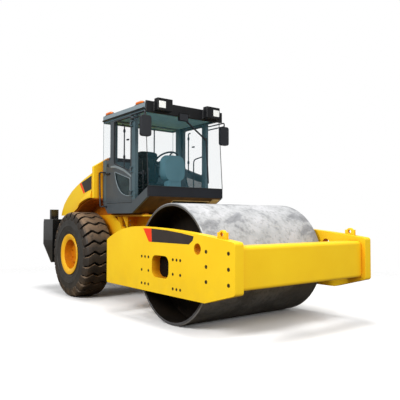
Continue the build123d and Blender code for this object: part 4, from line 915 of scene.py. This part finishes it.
# --- Studio
@dataclass
class Studio:
    """Camera, floor and light."""

    camera_place: tuple = (6.8543, -4.7468, 1.3936)
    yaw: float = 142.037        # degrees, as are pitch and roll
    pitch: float = 2.161
    roll: float = -0.083
    lens_mm: float = 44.38
    sensor_mm: float = 36.0
    view_end: float = 200.0
    floor_radius: float = 26.0
    fade_start: float = 3.0     # distance from the middle at which the floor starts to fade
    fade_end: float = 7.5
    floor_bounce: str = "#74695A"
    sky: float = 0.42
    lamps: tuple = (            # name, place, aim, size, power
        ("key", (2.5, -9.5, 6.5), (0.3, 0.0, 1.2), 4.0, 890.0),
        ("front", (10.0, -1.5, 4.5), (1.0, 0.0, 1.2), 4.0, 425.0),
        ("top", (0.2, 0.5, 10.0), (0.0, 0.0, 0.0), 5.0, 780.0),
    )

    def build(self) -> None:
        """Sets up everything that isn't the machine."""
        self.camera()
        self.floor()
        self.light()

    def stand(self, name: str, data: bpy.types.ID) -> Piece:
        """Puts a camera or a lamp in the scene.

        Args:
            name: its name.
            data: its camera or lamp data.

        Returns:
            The new object.
        """
        obj = bpy.data.objects.new(name, data)
        bpy.context.scene.collection.objects.link(obj)
        return obj

    def camera(self) -> None:
        """A level camera at a standing person's chest height."""
        data = bpy.data.cameras.new("camera")
        data.lens = self.lens_mm
        data.sensor_width = self.sensor_mm
        data.clip_end = self.view_end
        eye = self.stand("camera", data)
        yaw, pitch = math.radians(self.yaw), math.radians(self.pitch)
        look = Vector((math.cos(yaw) * math.cos(pitch), math.sin(yaw) * math.cos(pitch),
                       math.sin(pitch)))
        turn = look.to_track_quat("-Z", "Y").to_matrix().to_4x4()
        eye.matrix_world = (Matrix.Translation(self.camera_place) @ turn
                            @ Matrix.Rotation(math.radians(-self.roll), 4, "Z"))
        bpy.context.scene.camera = eye

    def floor(self) -> None:
        """A white floor that fades out before the horizon and lights the machine less."""
        bpy.ops.mesh.primitive_circle_add(vertices=96, radius=self.floor_radius,
                                          fill_type="NGON", location=(0, 0, -MM))
        floor = settle(bpy.context.active_object)
        floor.name = "floor"
        paint = bpy.data.materials.new("floor_pale")
        paint.use_nodes = True
        nodes, shader = Nodes(paint.node_tree), paint.node_tree.nodes["Principled BSDF"]
        far = nodes.add("VectorMath", {0: nodes.place()}, operation="LENGTH").outputs["Value"]
        shade = nodes.mix(nodes.seen(), linear(self.floor_bounce), "#FFFFFF")
        nodes.fill(shader, {"Roughness": 0.9, "Specular IOR Level": 0.1, "Base Color": shade})
        gone = nodes.times(nodes.spread(far, self.fade_start, self.fade_end), nodes.seen())
        blend = nodes.add("MixShader", {0: gone, 1: shader.outputs["BSDF"],
                                        2: nodes.add("BsdfTransparent").outputs["BSDF"]})
        nodes.fill(paint.node_tree.nodes["Material Output"], {"Surface": blend.outputs[0]})
        floor.data.materials.append(paint)

    def light(self) -> None:
        """Soft daylight all round, and large lamps on the right, in front and above."""
        world = bpy.data.worlds.new("studio")
        bpy.context.scene.world = world
        world.use_nodes = True
        nodes = Nodes(world.node_tree)
        strength = nodes.spread(nodes.seen(), 0.0, 1.0, self.sky, 1.0)
        nodes.fill(world.node_tree.nodes["Background"],
                   {"Color": linear("#FFFFFF"), "Strength": strength})
        for name, place, aim, size, power in self.lamps:
            data = bpy.data.lights.new(name, "AREA")
            data.size = size
            data.energy = power
            lamp = self.stand(name, data)
            lamp.location = place
            lamp.rotation_euler = (Vector(aim) - Vector(place)).to_track_quat("-Z", "Y").to_euler()


# --- Front frame and drum
@dataclass
class FrontFrame(Assembly):
    """Side plates, cross beams, scrapers and the drum's suspension."""

    drum_x: float = 1.490
    stripe_lift: float = 0.0012
    drum_bolt: float = 0.019        # radius of the bolts round the drum's supports
    beam_bolt: float = 0.023        # radius of those that hold the beam
    # Bolts' places: forward of the drum's axis, and height
    drum_columns: tuple = ((-0.405, -0.32, -0.236), (0.33, 0.41, 0.487))
    drum_rows: tuple = (0.885, 0.706, 0.527)
    beam_columns: tuple = (0.987, 1.3725)
    beam_rows: tuple = (1.0185, 0.847, 0.677)
    # Corners of the stripes, measured the same way
    red: tuple = ((-0.37, 1.262), (-0.168, 1.262), (-0.155, 1.087), (-0.229, 1.087))
    black: tuple = ((-0.165, 1.262), (0.2, 1.245), (0.5, 1.218), (0.754, 1.186),
                    (0.735, 1.135), (0.66, 1.087), (-0.152, 1.087))

    def build(self) -> None:
        """Builds every piece of the front frame."""
        # The drum's supports and carriers take the near-black painted shade
        self.dress(("side_plate_right", MACHINE_YELLOW, 6.0, 3),
                   ("side_plate_left", MACHINE_YELLOW, 6.0, 3),
                   ("front_beam", MACHINE_YELLOW, 6.0), ("rear_beam", MACHINE_YELLOW, 6.0),
                   ("scrapers", CHASSIS_BLACK, 2.0, 1), ("drum_supports", SHADE_BLACK, 3.0),
                   ("rubber_mounts", SEAL_RUBBER, 4.0), ("drum_carriers", SHADE_BLACK, 3.0))
        self.face = -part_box("side_plate_right")[0].y
        # Each drum support has eight bolts: three columns and rows, without the middle one
        self.bolts("drum", self.drum_bolt,
                   [(x, z) for columns in self.drum_columns for z in self.drum_rows
                    for x in columns if (x, z) != (columns[1], self.drum_rows[1])])
        self.bolts("beam", self.beam_bolt,
                   [(x, z) for x in self.beam_columns for z in self.beam_rows])
        self.stripes()

    def bolts(self, label: str, radius: float, places: list[tuple]) -> None:
        """Socket bolts through both side plates, each in a raised ring.

        Args:
            label: what the bolts hold.
            radius: radius of the ring.
            places: where they are, forward of the drum's axis and in height.
        """
        # The dark ring round each head is painted shade of a sunk hole
        ring = lathe([(0.0, radius * 0.62), (0.0, radius), (0.0018, radius * 0.96),
                      (0.0018, radius * 0.70)], Vector(), 20)
        head = cylinder((0, 0.0004, 0), radius * 0.64, 0.0016, 6)
        spots = [(self.drum_x + x, self.face - 0.0002, z) for x, z in places]
        left = copies(join([ring, head]), spots)
        right = mirrored(left)
        self.add(f"{label}_bolts_left", left, "side_plate_left", BOLT_BLACK_AND_HOLE_SHADE)
        self.add(f"{label}_bolts_right", right, "side_plate_right", BOLT_BLACK_AND_HOLE_SHADE)

    def stripes(self) -> None:
        """The black and red band under the crest of each side plate."""
        for side in Side:
            start = side.value * (self.face - MM)
            end = side.value * (self.face + self.stripe_lift)
            for label, outline, finish in (("red", self.red, STRIPE_RED),
                                           ("black", self.black, STRIPE_BLACK)):
                stripe = prism([(self.drum_x + x, z) for x, z in outline], start, end)
                self.add(f"plate_stripe_{label}_{side.label}", stripe, f"side_plate_{side.label}",
                         finish, slot="black_paint")


@dataclass
class Drum(Assembly):
    """The smooth drum."""

    radius: float = 0.8
    half_width: float = 1.05
    shell: float = 0.04
    disc_face: float = 0.67     # outer face of the end discs, from the middle
    disc: float = 0.03
    bore: float = 0.1101
    corner: float = 0.012
    rim: float = 0.004          # chamfer inside the shell's ends
    weld: float = 0.02          # fillet weld between disc and shell

    def build(self) -> None:
        """Builds the shell with its end discs."""
        centre = box_centre("drum")
        outer, inner = self.radius, self.radius - self.shell
        half, face, back = self.half_width, self.disc_face, self.disc_face - self.disc
        right = [(half - self.corner, outer), (half, outer - self.corner),
                 (half, inner + self.rim), (half - self.rim, inner), (face + self.weld, inner),
                 (face, inner - self.weld), (face, self.bore), (back, self.bore), (back, inner)]
        drum = lathe(right + [(-x, r) for x, r in reversed(right)], centre, 160)
        for side in drum.data.polygons:
            reach = reach_of(side, centre)
            if reach > outer - self.corner:
                side.material_index = int(reach < outer - self.rim)
            else:
                side.material_index = 3 - int(abs(side.center.y) > half - self.rim)
        self.add("drum_finished", drum, "drum", DRUM_STEEL, EDGE_STEEL, END_STEEL, DRUM_INSIDE,
                 replaces=True)


# --- Rear chassis and wheels
@dataclass
class Hitch(Assembly):
    """The articulated hitch and its steering cylinders."""

    def build(self) -> None:
        """Builds the yoke, barrels and rods."""
        self.dress(("hitch_yoke", CHASSIS_BLACK, 3.0))
        for side in Side:
            self.dress((f"steer_barrel_{side.label}", CHASSIS_BLACK, 2.0, 1),
                       (f"steer_rod_{side.label}", ROD_CHROME, 1.0, 1))


@dataclass
class RearFrame(Assembly):
    """Rear chassis with its axle, engine block and counterweight."""

    web: float = -0.579         # outer face of the right side member
    rib_foot: float = 1.20
    rib_top: float = 1.425
    rib_reach: float = 0.09
    ribs: tuple = (-0.66, -0.47)
    deck_bolts: tuple = ((-0.74, 1.34), (-0.57, 1.34), (-0.57, 1.27), (-0.38, 1.36),
                         (-0.38, 1.29))

    def build(self) -> None:
        """Builds every piece of the rear chassis."""
        self.dress(("rear_frame", MACHINE_YELLOW, 4.0), ("rear_axle", CHASSIS_BLACK, 4.0),
                   ("engine_block", CASTING_GREY, 15.0), ("counterweight", CAST_BLACK, 10.0, 3))
        self.gusset_ribs()

    def gusset_ribs(self) -> None:
        """Stiffening ribs and a row of bolts under the deck, ahead of each rear wheel."""
        outline = [(self.web, self.rib_foot), (self.web, self.rib_top),
                   (self.web - self.rib_reach, self.rib_top)]
        for index, x in enumerate(self.ribs):
            rib = prism(outline, x - 0.006, x + 0.006, Axis.X, 1.5)
            self.add_pair(f"deck_rib_{index}", rib, "rear_frame", MACHINE_YELLOW)
        spots = [(x, self.web - 0.007, z) for x, z in self.deck_bolts]
        bolts = copies(cylinder((0, 0, 0), 0.012, 0.012, 6, 1.0), spots)
        self.add_pair("deck_bolts", bolts, "rear_frame", BOLT_ZINC)


@dataclass
class Wheel(Assembly):
    """A rear wheel: a lugged tyre on a dished rim."""

    side: Side = Side.RIGHT
    radius: float = 0.755
    half_width: float = 0.262
    groove: float = 0.040
    lugs: int = 25
    gap: float = 0.042          # open groove between two lugs
    lean: float = 0.955         # how much of a lug's length is left at its top
    bead: float = 0.317
    groove_foot: float = 0.668  # radius where the sidewall turns into the grooves' bottoms
    dish: float = 0.262         # radius inside which the rim is dish, in the darker orange of painted shade
    steps: int = 100
    nuts: int = 10
    nut_circle: float = 0.205
    # One half of a lug: across from the middle plane, forward shift, radius of its top and foot
    lug_rows: tuple = (
        (0.000, 0.024, 0.7545, 0.705), (0.030, 0.014, 0.7545, 0.705),
        (0.075, -0.015, 0.7545, 0.705), (0.100, -0.024, 0.7545, 0.705),
        (0.125, -0.016, 0.7540, 0.705), (0.175, 0.016, 0.7530, 0.700),
        (0.212, 0.036, 0.7490, 0.690), (0.236, 0.048, 0.7260, 0.675),
        (0.252, 0.056, 0.6800, 0.640), (0.2575, 0.060, 0.6300, 0.610),
    )
    # Section of the rim, from its outer flange: place out from the middle, radius
    rim_rows: tuple = (
        (0.252, 0.356), (0.247, 0.360), (0.238, 0.359), (0.2325, 0.350), (0.232, 0.3175),
        (-0.232, 0.3175), (-0.2325, 0.350), (-0.238, 0.359), (-0.247, 0.360), (-0.252, 0.356),
        (-0.252, 0.322), (-0.247, 0.305), (-0.232, 0.270), (-0.222, 0.259), (-0.200, 0.2565),
        (-0.095, 0.2565), (-0.0835, 0.250), (-0.0825, 0.1401), (-0.0575, 0.1401),
        (-0.0575, 0.274), (-0.214, 0.276), (-0.231, 0.300), (0.231, 0.300), (0.250, 0.318),
    )
    # Section of the hub cap: place out from the hub's end, radius
    cap_rows: tuple = ((0.001, 0.0), (0.001, 0.136), (0.008, 0.136), (0.018, 0.120),
                       (0.020, 0.070), (0.028, 0.062), (0.030, 0.0))

    def build(self) -> None:
        """Builds the tyre's carcass and lugs, and the rim."""
        self.label = self.side.label
        self.tyre, self.hub = f"tyre_{self.label}", f"rim_{self.label}"
        self.centre = box_centre(self.tyre)
        self.centre.z = self.radius
        self.carcass()
        self.tread()
        self.rim()

    def carcass(self) -> None:
        """The tyre's body, with moulded rings on the sidewall and groove bottoms in a near-black
        painted shade.
        """
        half, deep = self.half_width, self.radius - self.groove
        right = [
            (0.0, deep), (0.200, deep - 0.004), (0.232, deep - 0.035), (half - 0.014, 0.660),
            (half - 0.006, 0.615), (half, 0.560), (half, 0.520), (half + 0.0025, 0.514),
            (half + 0.002, 0.502), (half - 0.004, 0.496), (half - 0.008, 0.455),
            (half - 0.016, 0.420), (half - 0.013, 0.412), (half - 0.018, 0.398),
            (half - 0.028, 0.376), (half - 0.031, self.bead + 0.003),
        ]
        profile = right + [(-x, r) for x, r in reversed(right[1:])]
        body = lathe(profile, self.centre, self.steps)
        # Faces out past the groove foot take the near-black painted shade
        for face in body.data.polygons:
            face.material_index = int(reach_of(face, self.centre) > self.groove_foot)
        self.add(f"tyre_body_{self.label}", body, self.tyre, TYRE_WALL, TYRE_GROOVE_SHADE, replaces=True)

    def lug_model(self) -> Piece:
        """One wavy lug, laid flat: X round the wheel, Y across, Z from its foot to its top.

        Returns:
            The lug.
        """
        rows = [(-row[0], *row[1:]) for row in reversed(self.lug_rows[1:])] + [*self.lug_rows]
        half = (2 * math.pi * self.radius / self.lugs - self.gap) / 2
        bpy.ops.mesh.primitive_grid_add(x_subdivisions=1, y_subdivisions=len(rows) - 1, size=1.0)
        lug = bpy.context.active_object
        places = sorted({round(corner.co.y, 4) for corner in lug.data.vertices})
        for corner in lug.data.vertices:
            index = min(range(len(places)), key=lambda i: abs(places[i] - corner.co.y))
            across, shift = rows[index][:2]
            corner.co = (math.copysign(half, corner.co.x) + shift, across, 0.0)
        with editing(lug):
            bpy.ops.mesh.extrude_region_move(TRANSFORM_OT_translate={"value": (0, 0, 1.0)})
        for corner in lug.data.vertices:
            if corner.co.z > 0.5:       # the lug's flanks lean in towards its top
                row = min(rows, key=lambda entry: abs(entry[0] - corner.co.y))
                corner.co.x = row[1] + (corner.co.x - row[1]) * self.lean
        return clean(lug)

    def tread(self) -> None:
        """The lugs, wrapped round the carcass."""
        model = self.lug_model()
        ring = []
        for index in range(self.lugs):
            lug = twin(model)
            start = 2 * math.pi * index / self.lugs - math.pi / 2
            for corner in lug.data.vertices:
                along, across, out = corner.co
                row = min(self.lug_rows, key=lambda entry: abs(entry[0] - abs(across)))
                reach = row[3] + (row[2] - row[3]) * out
                corner.co = around(self.centre, start - along / self.radius, reach, across)
            ring.append(lug)
        bpy.data.objects.remove(model)
        lugs = clean(join(ring))
        modify(lugs, "BEVEL", width=0.006, segments=2, limit_method="ANGLE",
               angle_limit=math.radians(50.0))
        self.add(f"tyre_lugs_{self.label}", smooth(lugs, 24.0), self.tyre, TYRE_TREAD)

    def rim(self) -> None:
        """The pressed rim: a bright flange round a deep dish in painted shade, with its hub cap and
        nuts.
        """
        out = self.side.value
        rim = lathe([(-out * x, r) for x, r in self.rim_rows], self.centre, self.steps)
        # Faces inside the dish's radius take the darker orange of painted shade
        for face in rim.data.polygons:
            face.material_index = int(reach_of(face, self.centre) < self.dish)
        self.add(f"rim_finished_{self.label}", rim, self.hub, RIM_YELLOW, RIM_DISH_SHADE, replaces=True)
        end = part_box("rear_axle")[1].y - abs(self.centre.y)
        cap = lathe([(out * (end + x), r) for x, r in self.cap_rows], self.centre, 48)
        self.add(f"hub_cap_{self.label}", cap, self.hub, RIM_DISH_SHADE)
        nut = join([cylinder((0, 0, 0), 0.016, 0.022, 6, 1.5),
                    cylinder((0, out * 0.014, 0), 0.008, 0.014, 10)])
        spots = [around(self.centre, 2 * math.pi * (index + 0.5) / self.nuts, self.nut_circle,
                        out * 0.092) for index in range(self.nuts)]
        self.add(f"wheel_nuts_{self.label}", copies(nut, spots), self.hub, RIM_DISH_SHADE)


# --- Bodywork
@dataclass
class Bodywork(Assembly):
    """Bulkhead, fenders and hood."""

    band_lift: float = 0.0016
    side: float = 0.930         # outer face of the hood, from the middle
    # Corners (x, z) of the side band: its red tail, then its black part
    red: tuple = ((-1.623, 2.030), (-1.556, 2.045), (-1.405, 1.853), (-1.459, 1.843))
    black: tuple = ((-1.548, 2.047), (-1.350, 2.094), (-1.139, 2.146), (-1.139, 1.908),
                    (-1.260, 1.883), (-1.397, 1.855))

    def build(self) -> None:
        """Builds every panel behind the cab."""
        # The fenders take the yellow enamel in its painted-shade colour
        self.dress(("bulkhead", MACHINE_YELLOW, 8.0, 3), ("fenders", ARCH_SHADE_YELLOW, 2.0, 1),
                   ("hood", MACHINE_YELLOW, 6.0, 3, 20.0), ("hood_grille", SHADE_BLACK, 1.5, 1))
        for label, outline, finish in (("red", self.red, STRIPE_RED),
                                       ("black", self.black, STRIPE_BLACK)):
            band = prism(outline, MM - self.side, -self.side - self.band_lift)
            self.add_pair(f"hood_band_{label}", band, "hood", finish)


# --- Cab
@dataclass
class Cab(Assembly):
    """The closed cab with its doors, glass, lamps, mirrors and seat."""

    skin: float = 0.750         # outer face of the doors and sills
    inner: float = 0.702        # their inner face
    rear: float = -1.055
    eaves: float = 3.100
    waist: float = 2.410
    floor: float = 1.540
    screen_rake: float = 0.091  # how far the windscreen leans back over its height
    lamp_front: float = 0.515
    lamp_y: tuple = (0.469, 0.617)          # inner and outer end of a work lamp
    lamp_z: tuple = (3.098, 3.228)
    pane_split: float = 2.12    # height between a door's two panes
    levers: tuple = ((-0.30, -0.30, 0.66), (-0.36, -0.36, 0.62), (-0.28, 0.30, 0.66))
    # On a door (x, z): its lower and upper window, the ridge between them and its fittings
    teardrop: tuple = ((-0.620, 2.182), (-0.596, 2.080), (-0.550, 1.990), (-0.487, 1.898),
                       (-0.415, 1.838), (-0.340, 1.799), (-0.265, 1.776), (-0.180, 1.763),
                       (-0.101, 1.757), (-0.101, 2.040))
    window: tuple = ((-0.655, 2.332), (-0.091, 2.155), (-0.091, 3.044), (-0.655, 3.044))
    ridge: tuple = ((-0.760, 2.292), (-0.599, 2.290), (-0.450, 2.256), (-0.298, 2.206),
                    (-0.160, 2.140), (-0.067, 2.092), (-0.067, 2.058), (-0.170, 2.108),
                    (-0.300, 2.166), (-0.450, 2.214), (-0.599, 2.250), (-0.760, 2.262))
    lock: tuple = (-0.868, 2.315)
    handle: tuple = ((-0.905, 2.150), (-0.780, 2.180))
    crease: tuple = ((-0.915, 1.690), (-0.075, 1.700))
    # The bar inside the door, with its clamps and its release knob
    bar_x: float = -0.440
    bar_z: tuple = (2.235, 2.975)
    clamps_z: tuple = (2.40, 2.84)
    knob: tuple = ((-0.335, 2.690), (-0.275, 2.715))
    # Line under the sloping nose (x, z), from the floor up to the front
    nose: tuple = ((-0.041, 1.477), (0.415, 1.725))

    def build(self) -> None:
        """Builds every piece of the cab."""
        self.dress(("cab_floor", PAN_BROWN, 4.0), ("cab_sills", CAB_GREY, 4.0),
                   ("front_skirt", SKIRT_BLACK, 5.0), ("cab_frame", POST_GREY, 4.0),
                   ("windscreen", CAB_GLASS, 1.0, 1), ("quarter_glass", SIDE_GLASS, 1.0, 1),
                   ("rear_glass", CAB_GLASS, 1.0, 1))
        for side in Side:
            self.dress((f"door_{side.label}", CAB_GREY, 3.0))
            self.door_glass(f"door_glass_{side.label}")
        self.dress(("console", TRIM_TEAL, 8.0, 3), ("steering_wheel", TRIM_BLACK, 0.0, 2, 50.0),
                   ("wiper", TRIM_BLACK, 2.0, 1), ("grab_rails", CHASSIS_BLACK, 0.0, 2, 50.0))
        self.door_seals()
        self.door_fittings()
        self.glass_edges()
        self.roof()
        self.lamps()
        self.indicators()
        self.mirrors()
        self.inside()
        self.pan()
        self.seat()

    def door_glass(self, node: str) -> None:
        """Clear upper pane and deep-tinted lower pane of one door.

        Args:
            node: the node of the glass.
        """
        glass = self.copy_of(node, 0.0)
        for face in glass.data.polygons:
            face.material_index = int(face.center.z < self.pane_split)
        self.add(f"{node}_finished", glass, node, SIDE_GLASS, DEEP_GLASS, replaces=True)

    def door_seals(self) -> None:
        """Seals of each door's two windows, and the ridge pressed between them."""
        low = [(x, -self.skin - 0.002, z) for x, z in self.teardrop]
        self.add_pair("door_low_seal", tube(low + low[:2], 0.007, 0.03, 2), "door", SEAL_PALE)
        high = [(x, -self.skin - MM, z) for x, z in self.window]
        start = tuple((Vector(high[0]) + Vector(high[1])) / 2)
        seal = tube([start, *high[1:], high[0], start], 0.006, 0.045, 2)
        self.add_pair("door_high_seal", seal, "door", SEAL_RUBBER)
        # The ridge's paler grey is a painted highlight
        ridge = prism(self.ridge, MM - self.skin, -self.skin - 0.011, round_mm=5.0)
        self.add_pair("door_ridge", ridge, "door", RIDGE_HIGHLIGHT_GREY)

    def door_fittings(self) -> None:
        """Lock, handle, crease and inner bar of each door."""
        skin, inner = -self.skin, -self.inner
        profile = [(0.0, 0.0), (0.0, 0.030), (-0.004, 0.031), (-0.007, 0.027), (-0.004, 0.020),
                   (-0.004, 0.0)]
        x, z = self.lock
        self.add_pair("door_lock", lathe(profile, Vector((x, skin, z)), 28), "door", TRIM_BLACK)
        (x0, z0), (x1, z1) = self.handle
        handle = block((x0, skin - 0.028, z0), (x1, skin + MM, z1), 6.0, 3)
        self.add_pair("door_handle", handle, "door", TRIM_BLACK)
        (x0, z0), (x1, z1) = self.crease
        crease = block((x0, skin - 0.003, z0), (x1, skin + MM, z1), 1.4)
        self.add_pair("door_crease", crease, "door", CAB_GREY)
        x, (foot, head) = self.bar_x, self.bar_z
        bar = [tube([(x, inner - 0.010, foot), (x, inner + 0.030, foot + 0.015),
                     (x, inner + 0.030, head - 0.015), (x, inner - 0.010, head)], 0.011)]
        for z in self.clamps_z:
            bar.append(block((x - 0.014, inner + 0.012, z), (x + 0.014, inner + 0.048, z + 0.055), 8.0))
        (x0, z0), (x1, z1) = self.knob
        bar.append(block((x0, inner + 0.005, z0), (x1, inner + 0.035, z1), 6.0))
        self.add_pair("door_inner_bar", join(bar), "door", TRIM_BLACK)

    def glass_edges(self) -> None:
        """Bonded black border round the windscreen and the panes beside it."""
        low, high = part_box("windscreen")
        foot = (high.x - 0.002, low.z + 0.004)
        head = (high.x - self.screen_rake + MM, high.z - 0.03)
        for side in Side:
            y = side.value * (self.skin - 0.006)
            edge = tube([(foot[0], y, foot[1]), (head[0], y, head[1])], 0.006, sides=2)
            self.add(f"screen_edge_{side.label}", edge, "windscreen", SEAL_RUBBER)
            x, y = self.rear + 0.003, side.value * (self.skin - 0.003)
            edge = tube([(x, y, self.waist + 0.01), (x, y, 3.066)], 0.004, sides=2)
            self.add(f"rear_pane_edge_{side.label}", edge, "rear_glass", SEAL_PALE)
        y = self.skin - 0.01
        edge = tube([(foot[0], -y, foot[1]), (foot[0], y, foot[1])], 0.008, sides=2)
        self.add("screen_foot", edge, "windscreen", SEAL_RUBBER)

    def roof(self) -> None:
        """Moulded roof with its drip rail, lifting eyes and headliner."""
        self.dress(("cab_roof", ROOF_GREY, 10.0, 3))
        low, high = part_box("cab_roof")
        front, back, z = high.x - 0.01, low.x - MM, low.z + 0.012
        route = [(front, low.y - MM, z), (back, low.y - MM, z), (back, high.y + MM, z),
                 (front, high.y + MM, z)]
        self.add("drip_rail", tube(route, 0.012, 0.06, 3), "cab_frame", SEAL_RUBBER)
        eyes = []
        for x in (low.x + 0.34, high.x - 0.10):
            for side in Side:
                bpy.ops.mesh.primitive_torus_add(
                    location=(x, side.value * (high.y - 0.045), low.z + 0.104),
                    rotation=(math.pi / 2, 0, 0), major_radius=0.020, minor_radius=0.005,
                    major_segments=24, minor_segments=8)
                eyes.append(smooth(settle(bpy.context.active_object)))
        self.add("roof_eyes", join(eyes), "cab_frame", CHASSIS_BLACK)
        liner = block((low.x + 0.09, low.y + 0.10, self.eaves - 0.014),
                      (high.x - 0.22, high.y - 0.10, self.eaves - MM), 5.0)
        self.add("headliner", liner, "cab_roof", HEADLINER)

    def lamps(self) -> None:
        """Work lamps with bezels and clear lenses at their outer ends."""
        self.dress(("work_lamps", LAMP_BLACK, 9.0, 3))
        for side in Side:
            # Piece, finish, how far it lies inside the bezel's outline, back, front, rounding
            for name, finish, inset, back, front, *rounding in (
                    ("bezel", LAMP_BLACK, 0.0, -0.004, 0.004, 4.0),
                    ("lens", CLEAR_LENS, 0.012, -0.002, 0.007, 3.0, 3)):
                inner, outer = sorted((side.value * (self.lamp_y[0] + inset),
                                       side.value * (self.lamp_y[1] - inset)))
                piece = block((self.lamp_front + back, inner, self.lamp_z[0] + inset),
                              (self.lamp_front + front, outer, self.lamp_z[1] - inset), *rounding)
                self.add(f"lamp_{name}_{side.label}", piece, "work_lamps", finish)

    def indicators(self) -> None:
        """Round amber lenses on black bases, at the roof's front and rear corners."""
        low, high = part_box("indicator_lamps")
        lenses = []
        for index, x in enumerate((low.x, high.x - 0.24)):
            for side in Side:
                y = side.value * (high.y - 0.035)
                base = block((x + 0.014, y - 0.036, low.z - 0.002),
                             (x + 0.226, y + 0.036, low.z + 0.014), 4.0)
                self.add(f"indicator_base_{index}_{side.label}", base, "work_lamps", TRIM_BLACK)
                lenses.append(block((x + 0.022, y - 0.034, low.z + 0.006),
                                    (x + 0.218, y + 0.034, high.z), 30.0, 5))
        self.add("indicator_lenses", join(lenses), "indicator_lamps", AMBER_LENS, replaces=True)

    def mirrors(self) -> None:
        """Mirror heads with their silvered glass, on bent arms."""
        self.dress(("mirrors", TRIM_BLACK, 14.0, 3, 60.0))
        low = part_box("mirrors")[0]
        glass = block((0.391, low.y + 0.020, 2.680), (0.3935, low.y + 0.160, 2.950), 1.0)
        self.add_pair("mirror_glass", glass, "mirrors", MIRROR_GLASS)

    def inside(self) -> None:
        """Rails, posts and levers seen through the glass."""
        rail = tube([(-0.259, 0.655, self.floor), (-0.258, 0.655, 2.46), (-0.060, 0.700, 2.50)],
                    0.011, 0.06)
        self.add("cab_hand_rail_left", rail, "cab_frame", TRIM_BLACK)
        post = tube([(-1.030, 0.30, 2.42), (-1.030, 0.30, 3.07)], 0.012)
        self.add("cab_rear_tube", post, "cab_frame", TRIM_BLACK)
        trim = block((-1.044, -0.640, 2.360), (-1.018, 0.640, 2.480), 6.0)
        self.add("rear_wall_trim", trim, "cab_frame", TRIM_BLACK)
        profile = [(0.0, 0.001), (0.0, 0.016), (0.020, 0.024), (0.045, 0.022), (0.058, 0.001)]
        for index, (x, y, reach) in enumerate(self.levers):
            end = Vector((x + 0.02, y, self.floor + reach))
            stick = tube([(x, y, self.floor), end + Vector((0, 0, 0.01))], 0.009)
            lever = join([stick, lathe(profile, end, 20, Axis.Z)])
            self.add(f"lever_{index}", lever, "console", TRIM_BLACK)

    def pan(self) -> None:
        """Recessed panel and bracket under the cab's sloping nose."""
        start, end = (Vector(corner) for corner in self.nose)
        slope = (end - start).normalized()
        down = Vector((slope.y, -slope.x))
        # The recessed panel is near black, painted shade
        # Name, its two ends along the slope, its two sides, thickness and finish
        for name, near, far, right, left, thick, finish in (
                ("nose_panel", 0.20, 0.42, -0.20, 0.52, 0.005, SHADE_BLACK),
                ("nose_frame", 0.18, 0.44, -0.22, 0.54, 0.003, BRACKET_BEIGE),
                ("nose_bracket", 0.16, 0.50, 0.56, 0.72, 0.007, BRACKET_BEIGE)):
            a, b = start + slope * near, start + slope * far
            outline = [a - down * MM, b - down * MM, b + down * thick, a + down * thick]
            self.add(name, prism(outline, right, left, round_mm=1.0), "cab_floor", finish)

    def cushion(self, low: tuple, high: tuple, crown: tuple) -> Piece:
        """A crowned pad whose sides pull in between its corners.

        Args:
            low: its lowest corner.
            high: its highest corner.
            crown: how far the middles of its faces stand out along X, Y and Z.

        Returns:
            The pad.
        """
        pad = block(low, high)
        with editing(pad):
            bpy.ops.mesh.subdivide(number_cuts=11)
        middle = (Vector(low) + Vector(high)) / 2
        half = (Vector(high) - Vector(low)) / 2
        for corner in pad.data.vertices:
            local = [(corner.co[i] - middle[i]) / half[i] for i in range(3)]
            for i in range(3):
                j, k = local[(i + 1) % 3], local[(i + 2) % 3]
                dome = (1 - j ** 2) * (1 - k ** 2)
                edge = 1 - 0.10 * (j ** 6 + k ** 6) - 0.05 * (j ** 2 + k ** 2)
                corner.co[i] = middle[i] + local[i] * (half[i] * edge - crown[i] * (1 - dome) / 2)
        return smooth(pad, 60.0)

    def seat(self) -> None:
        """Driver's seat: a crowned cushion and a tall back with its headrest, on a shell."""
        base = block((-0.760, -0.180, 1.538), (-0.400, 0.180, 1.890), 20.0, 3)
        bellows = block((-0.740, -0.170, 1.640), (-0.420, 0.170, 1.700), 12.0)
        shell = block((-0.850, -0.215, 1.960), (-0.815, 0.215, 2.560), 14.0, 3)
        tray = block((-0.820, -0.240, 1.880), (-0.350, 0.240, 1.925), 14.0, 3)
        self.add("seat_shell", join([base, bellows, shell, tray]), "seat", TRIM_BLACK, replaces=True)
        for name, low, high, crown in (
                ("seat_cushion", (-0.820, -0.248, 1.915), (-0.342, 0.248, 2.012),
                 (0.010, 0.012, 0.020)),
                ("seat_back", (-0.822, -0.232, 2.000), (-0.732, 0.232, 2.500),
                 (0.012, 0.008, 0.008)),
                ("seat_headrest", (-0.826, -0.205, 2.484), (-0.742, 0.205, 2.612),
                 (0.012, 0.008, 0.010))):
            pad = self.add(name, self.cushion(low, high, crown), "seat", SEAT_CLOTH)
        # Piping up the back and along the cushion
        routes = (((-0.735, 2.05), (-0.731, 2.25), (-0.735, 2.44)),
                  ((-0.72, 2.008), (-0.55, 2.013), (-0.38, 2.006)))
        seams = [tube([(x, y, z) for x, z in route], 0.004, 0.1, 2)
                 for y in (-0.135, 0.135) for route in routes]
        self.add("seat_piping", join(seams), "seat", TRIM_BLACK)
        for side in Side:
            rest = block((-0.790, side.value * 0.215, 2.150), (-0.480, side.value * 0.318, 2.200),
                         16.0, 3)
            self.add(f"arm_rest_{side.label}", rest, "seat", TRIM_BLACK)


def main() -> None:
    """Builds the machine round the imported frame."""
    logging.basicConfig(level=logging.INFO, format="%(message)s")
    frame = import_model()
    bpy.context.scene.view_settings.view_transform = "Standard"
    Studio().build()
    for assembly in (FrontFrame(frame), Drum(frame), Hitch(frame), RearFrame(frame),
                     Wheel(frame, Side.RIGHT), Wheel(frame, Side.LEFT), Bodywork(frame),
                     Cab(frame)):
        assembly.build()


if __name__ == "__main__":
    main()
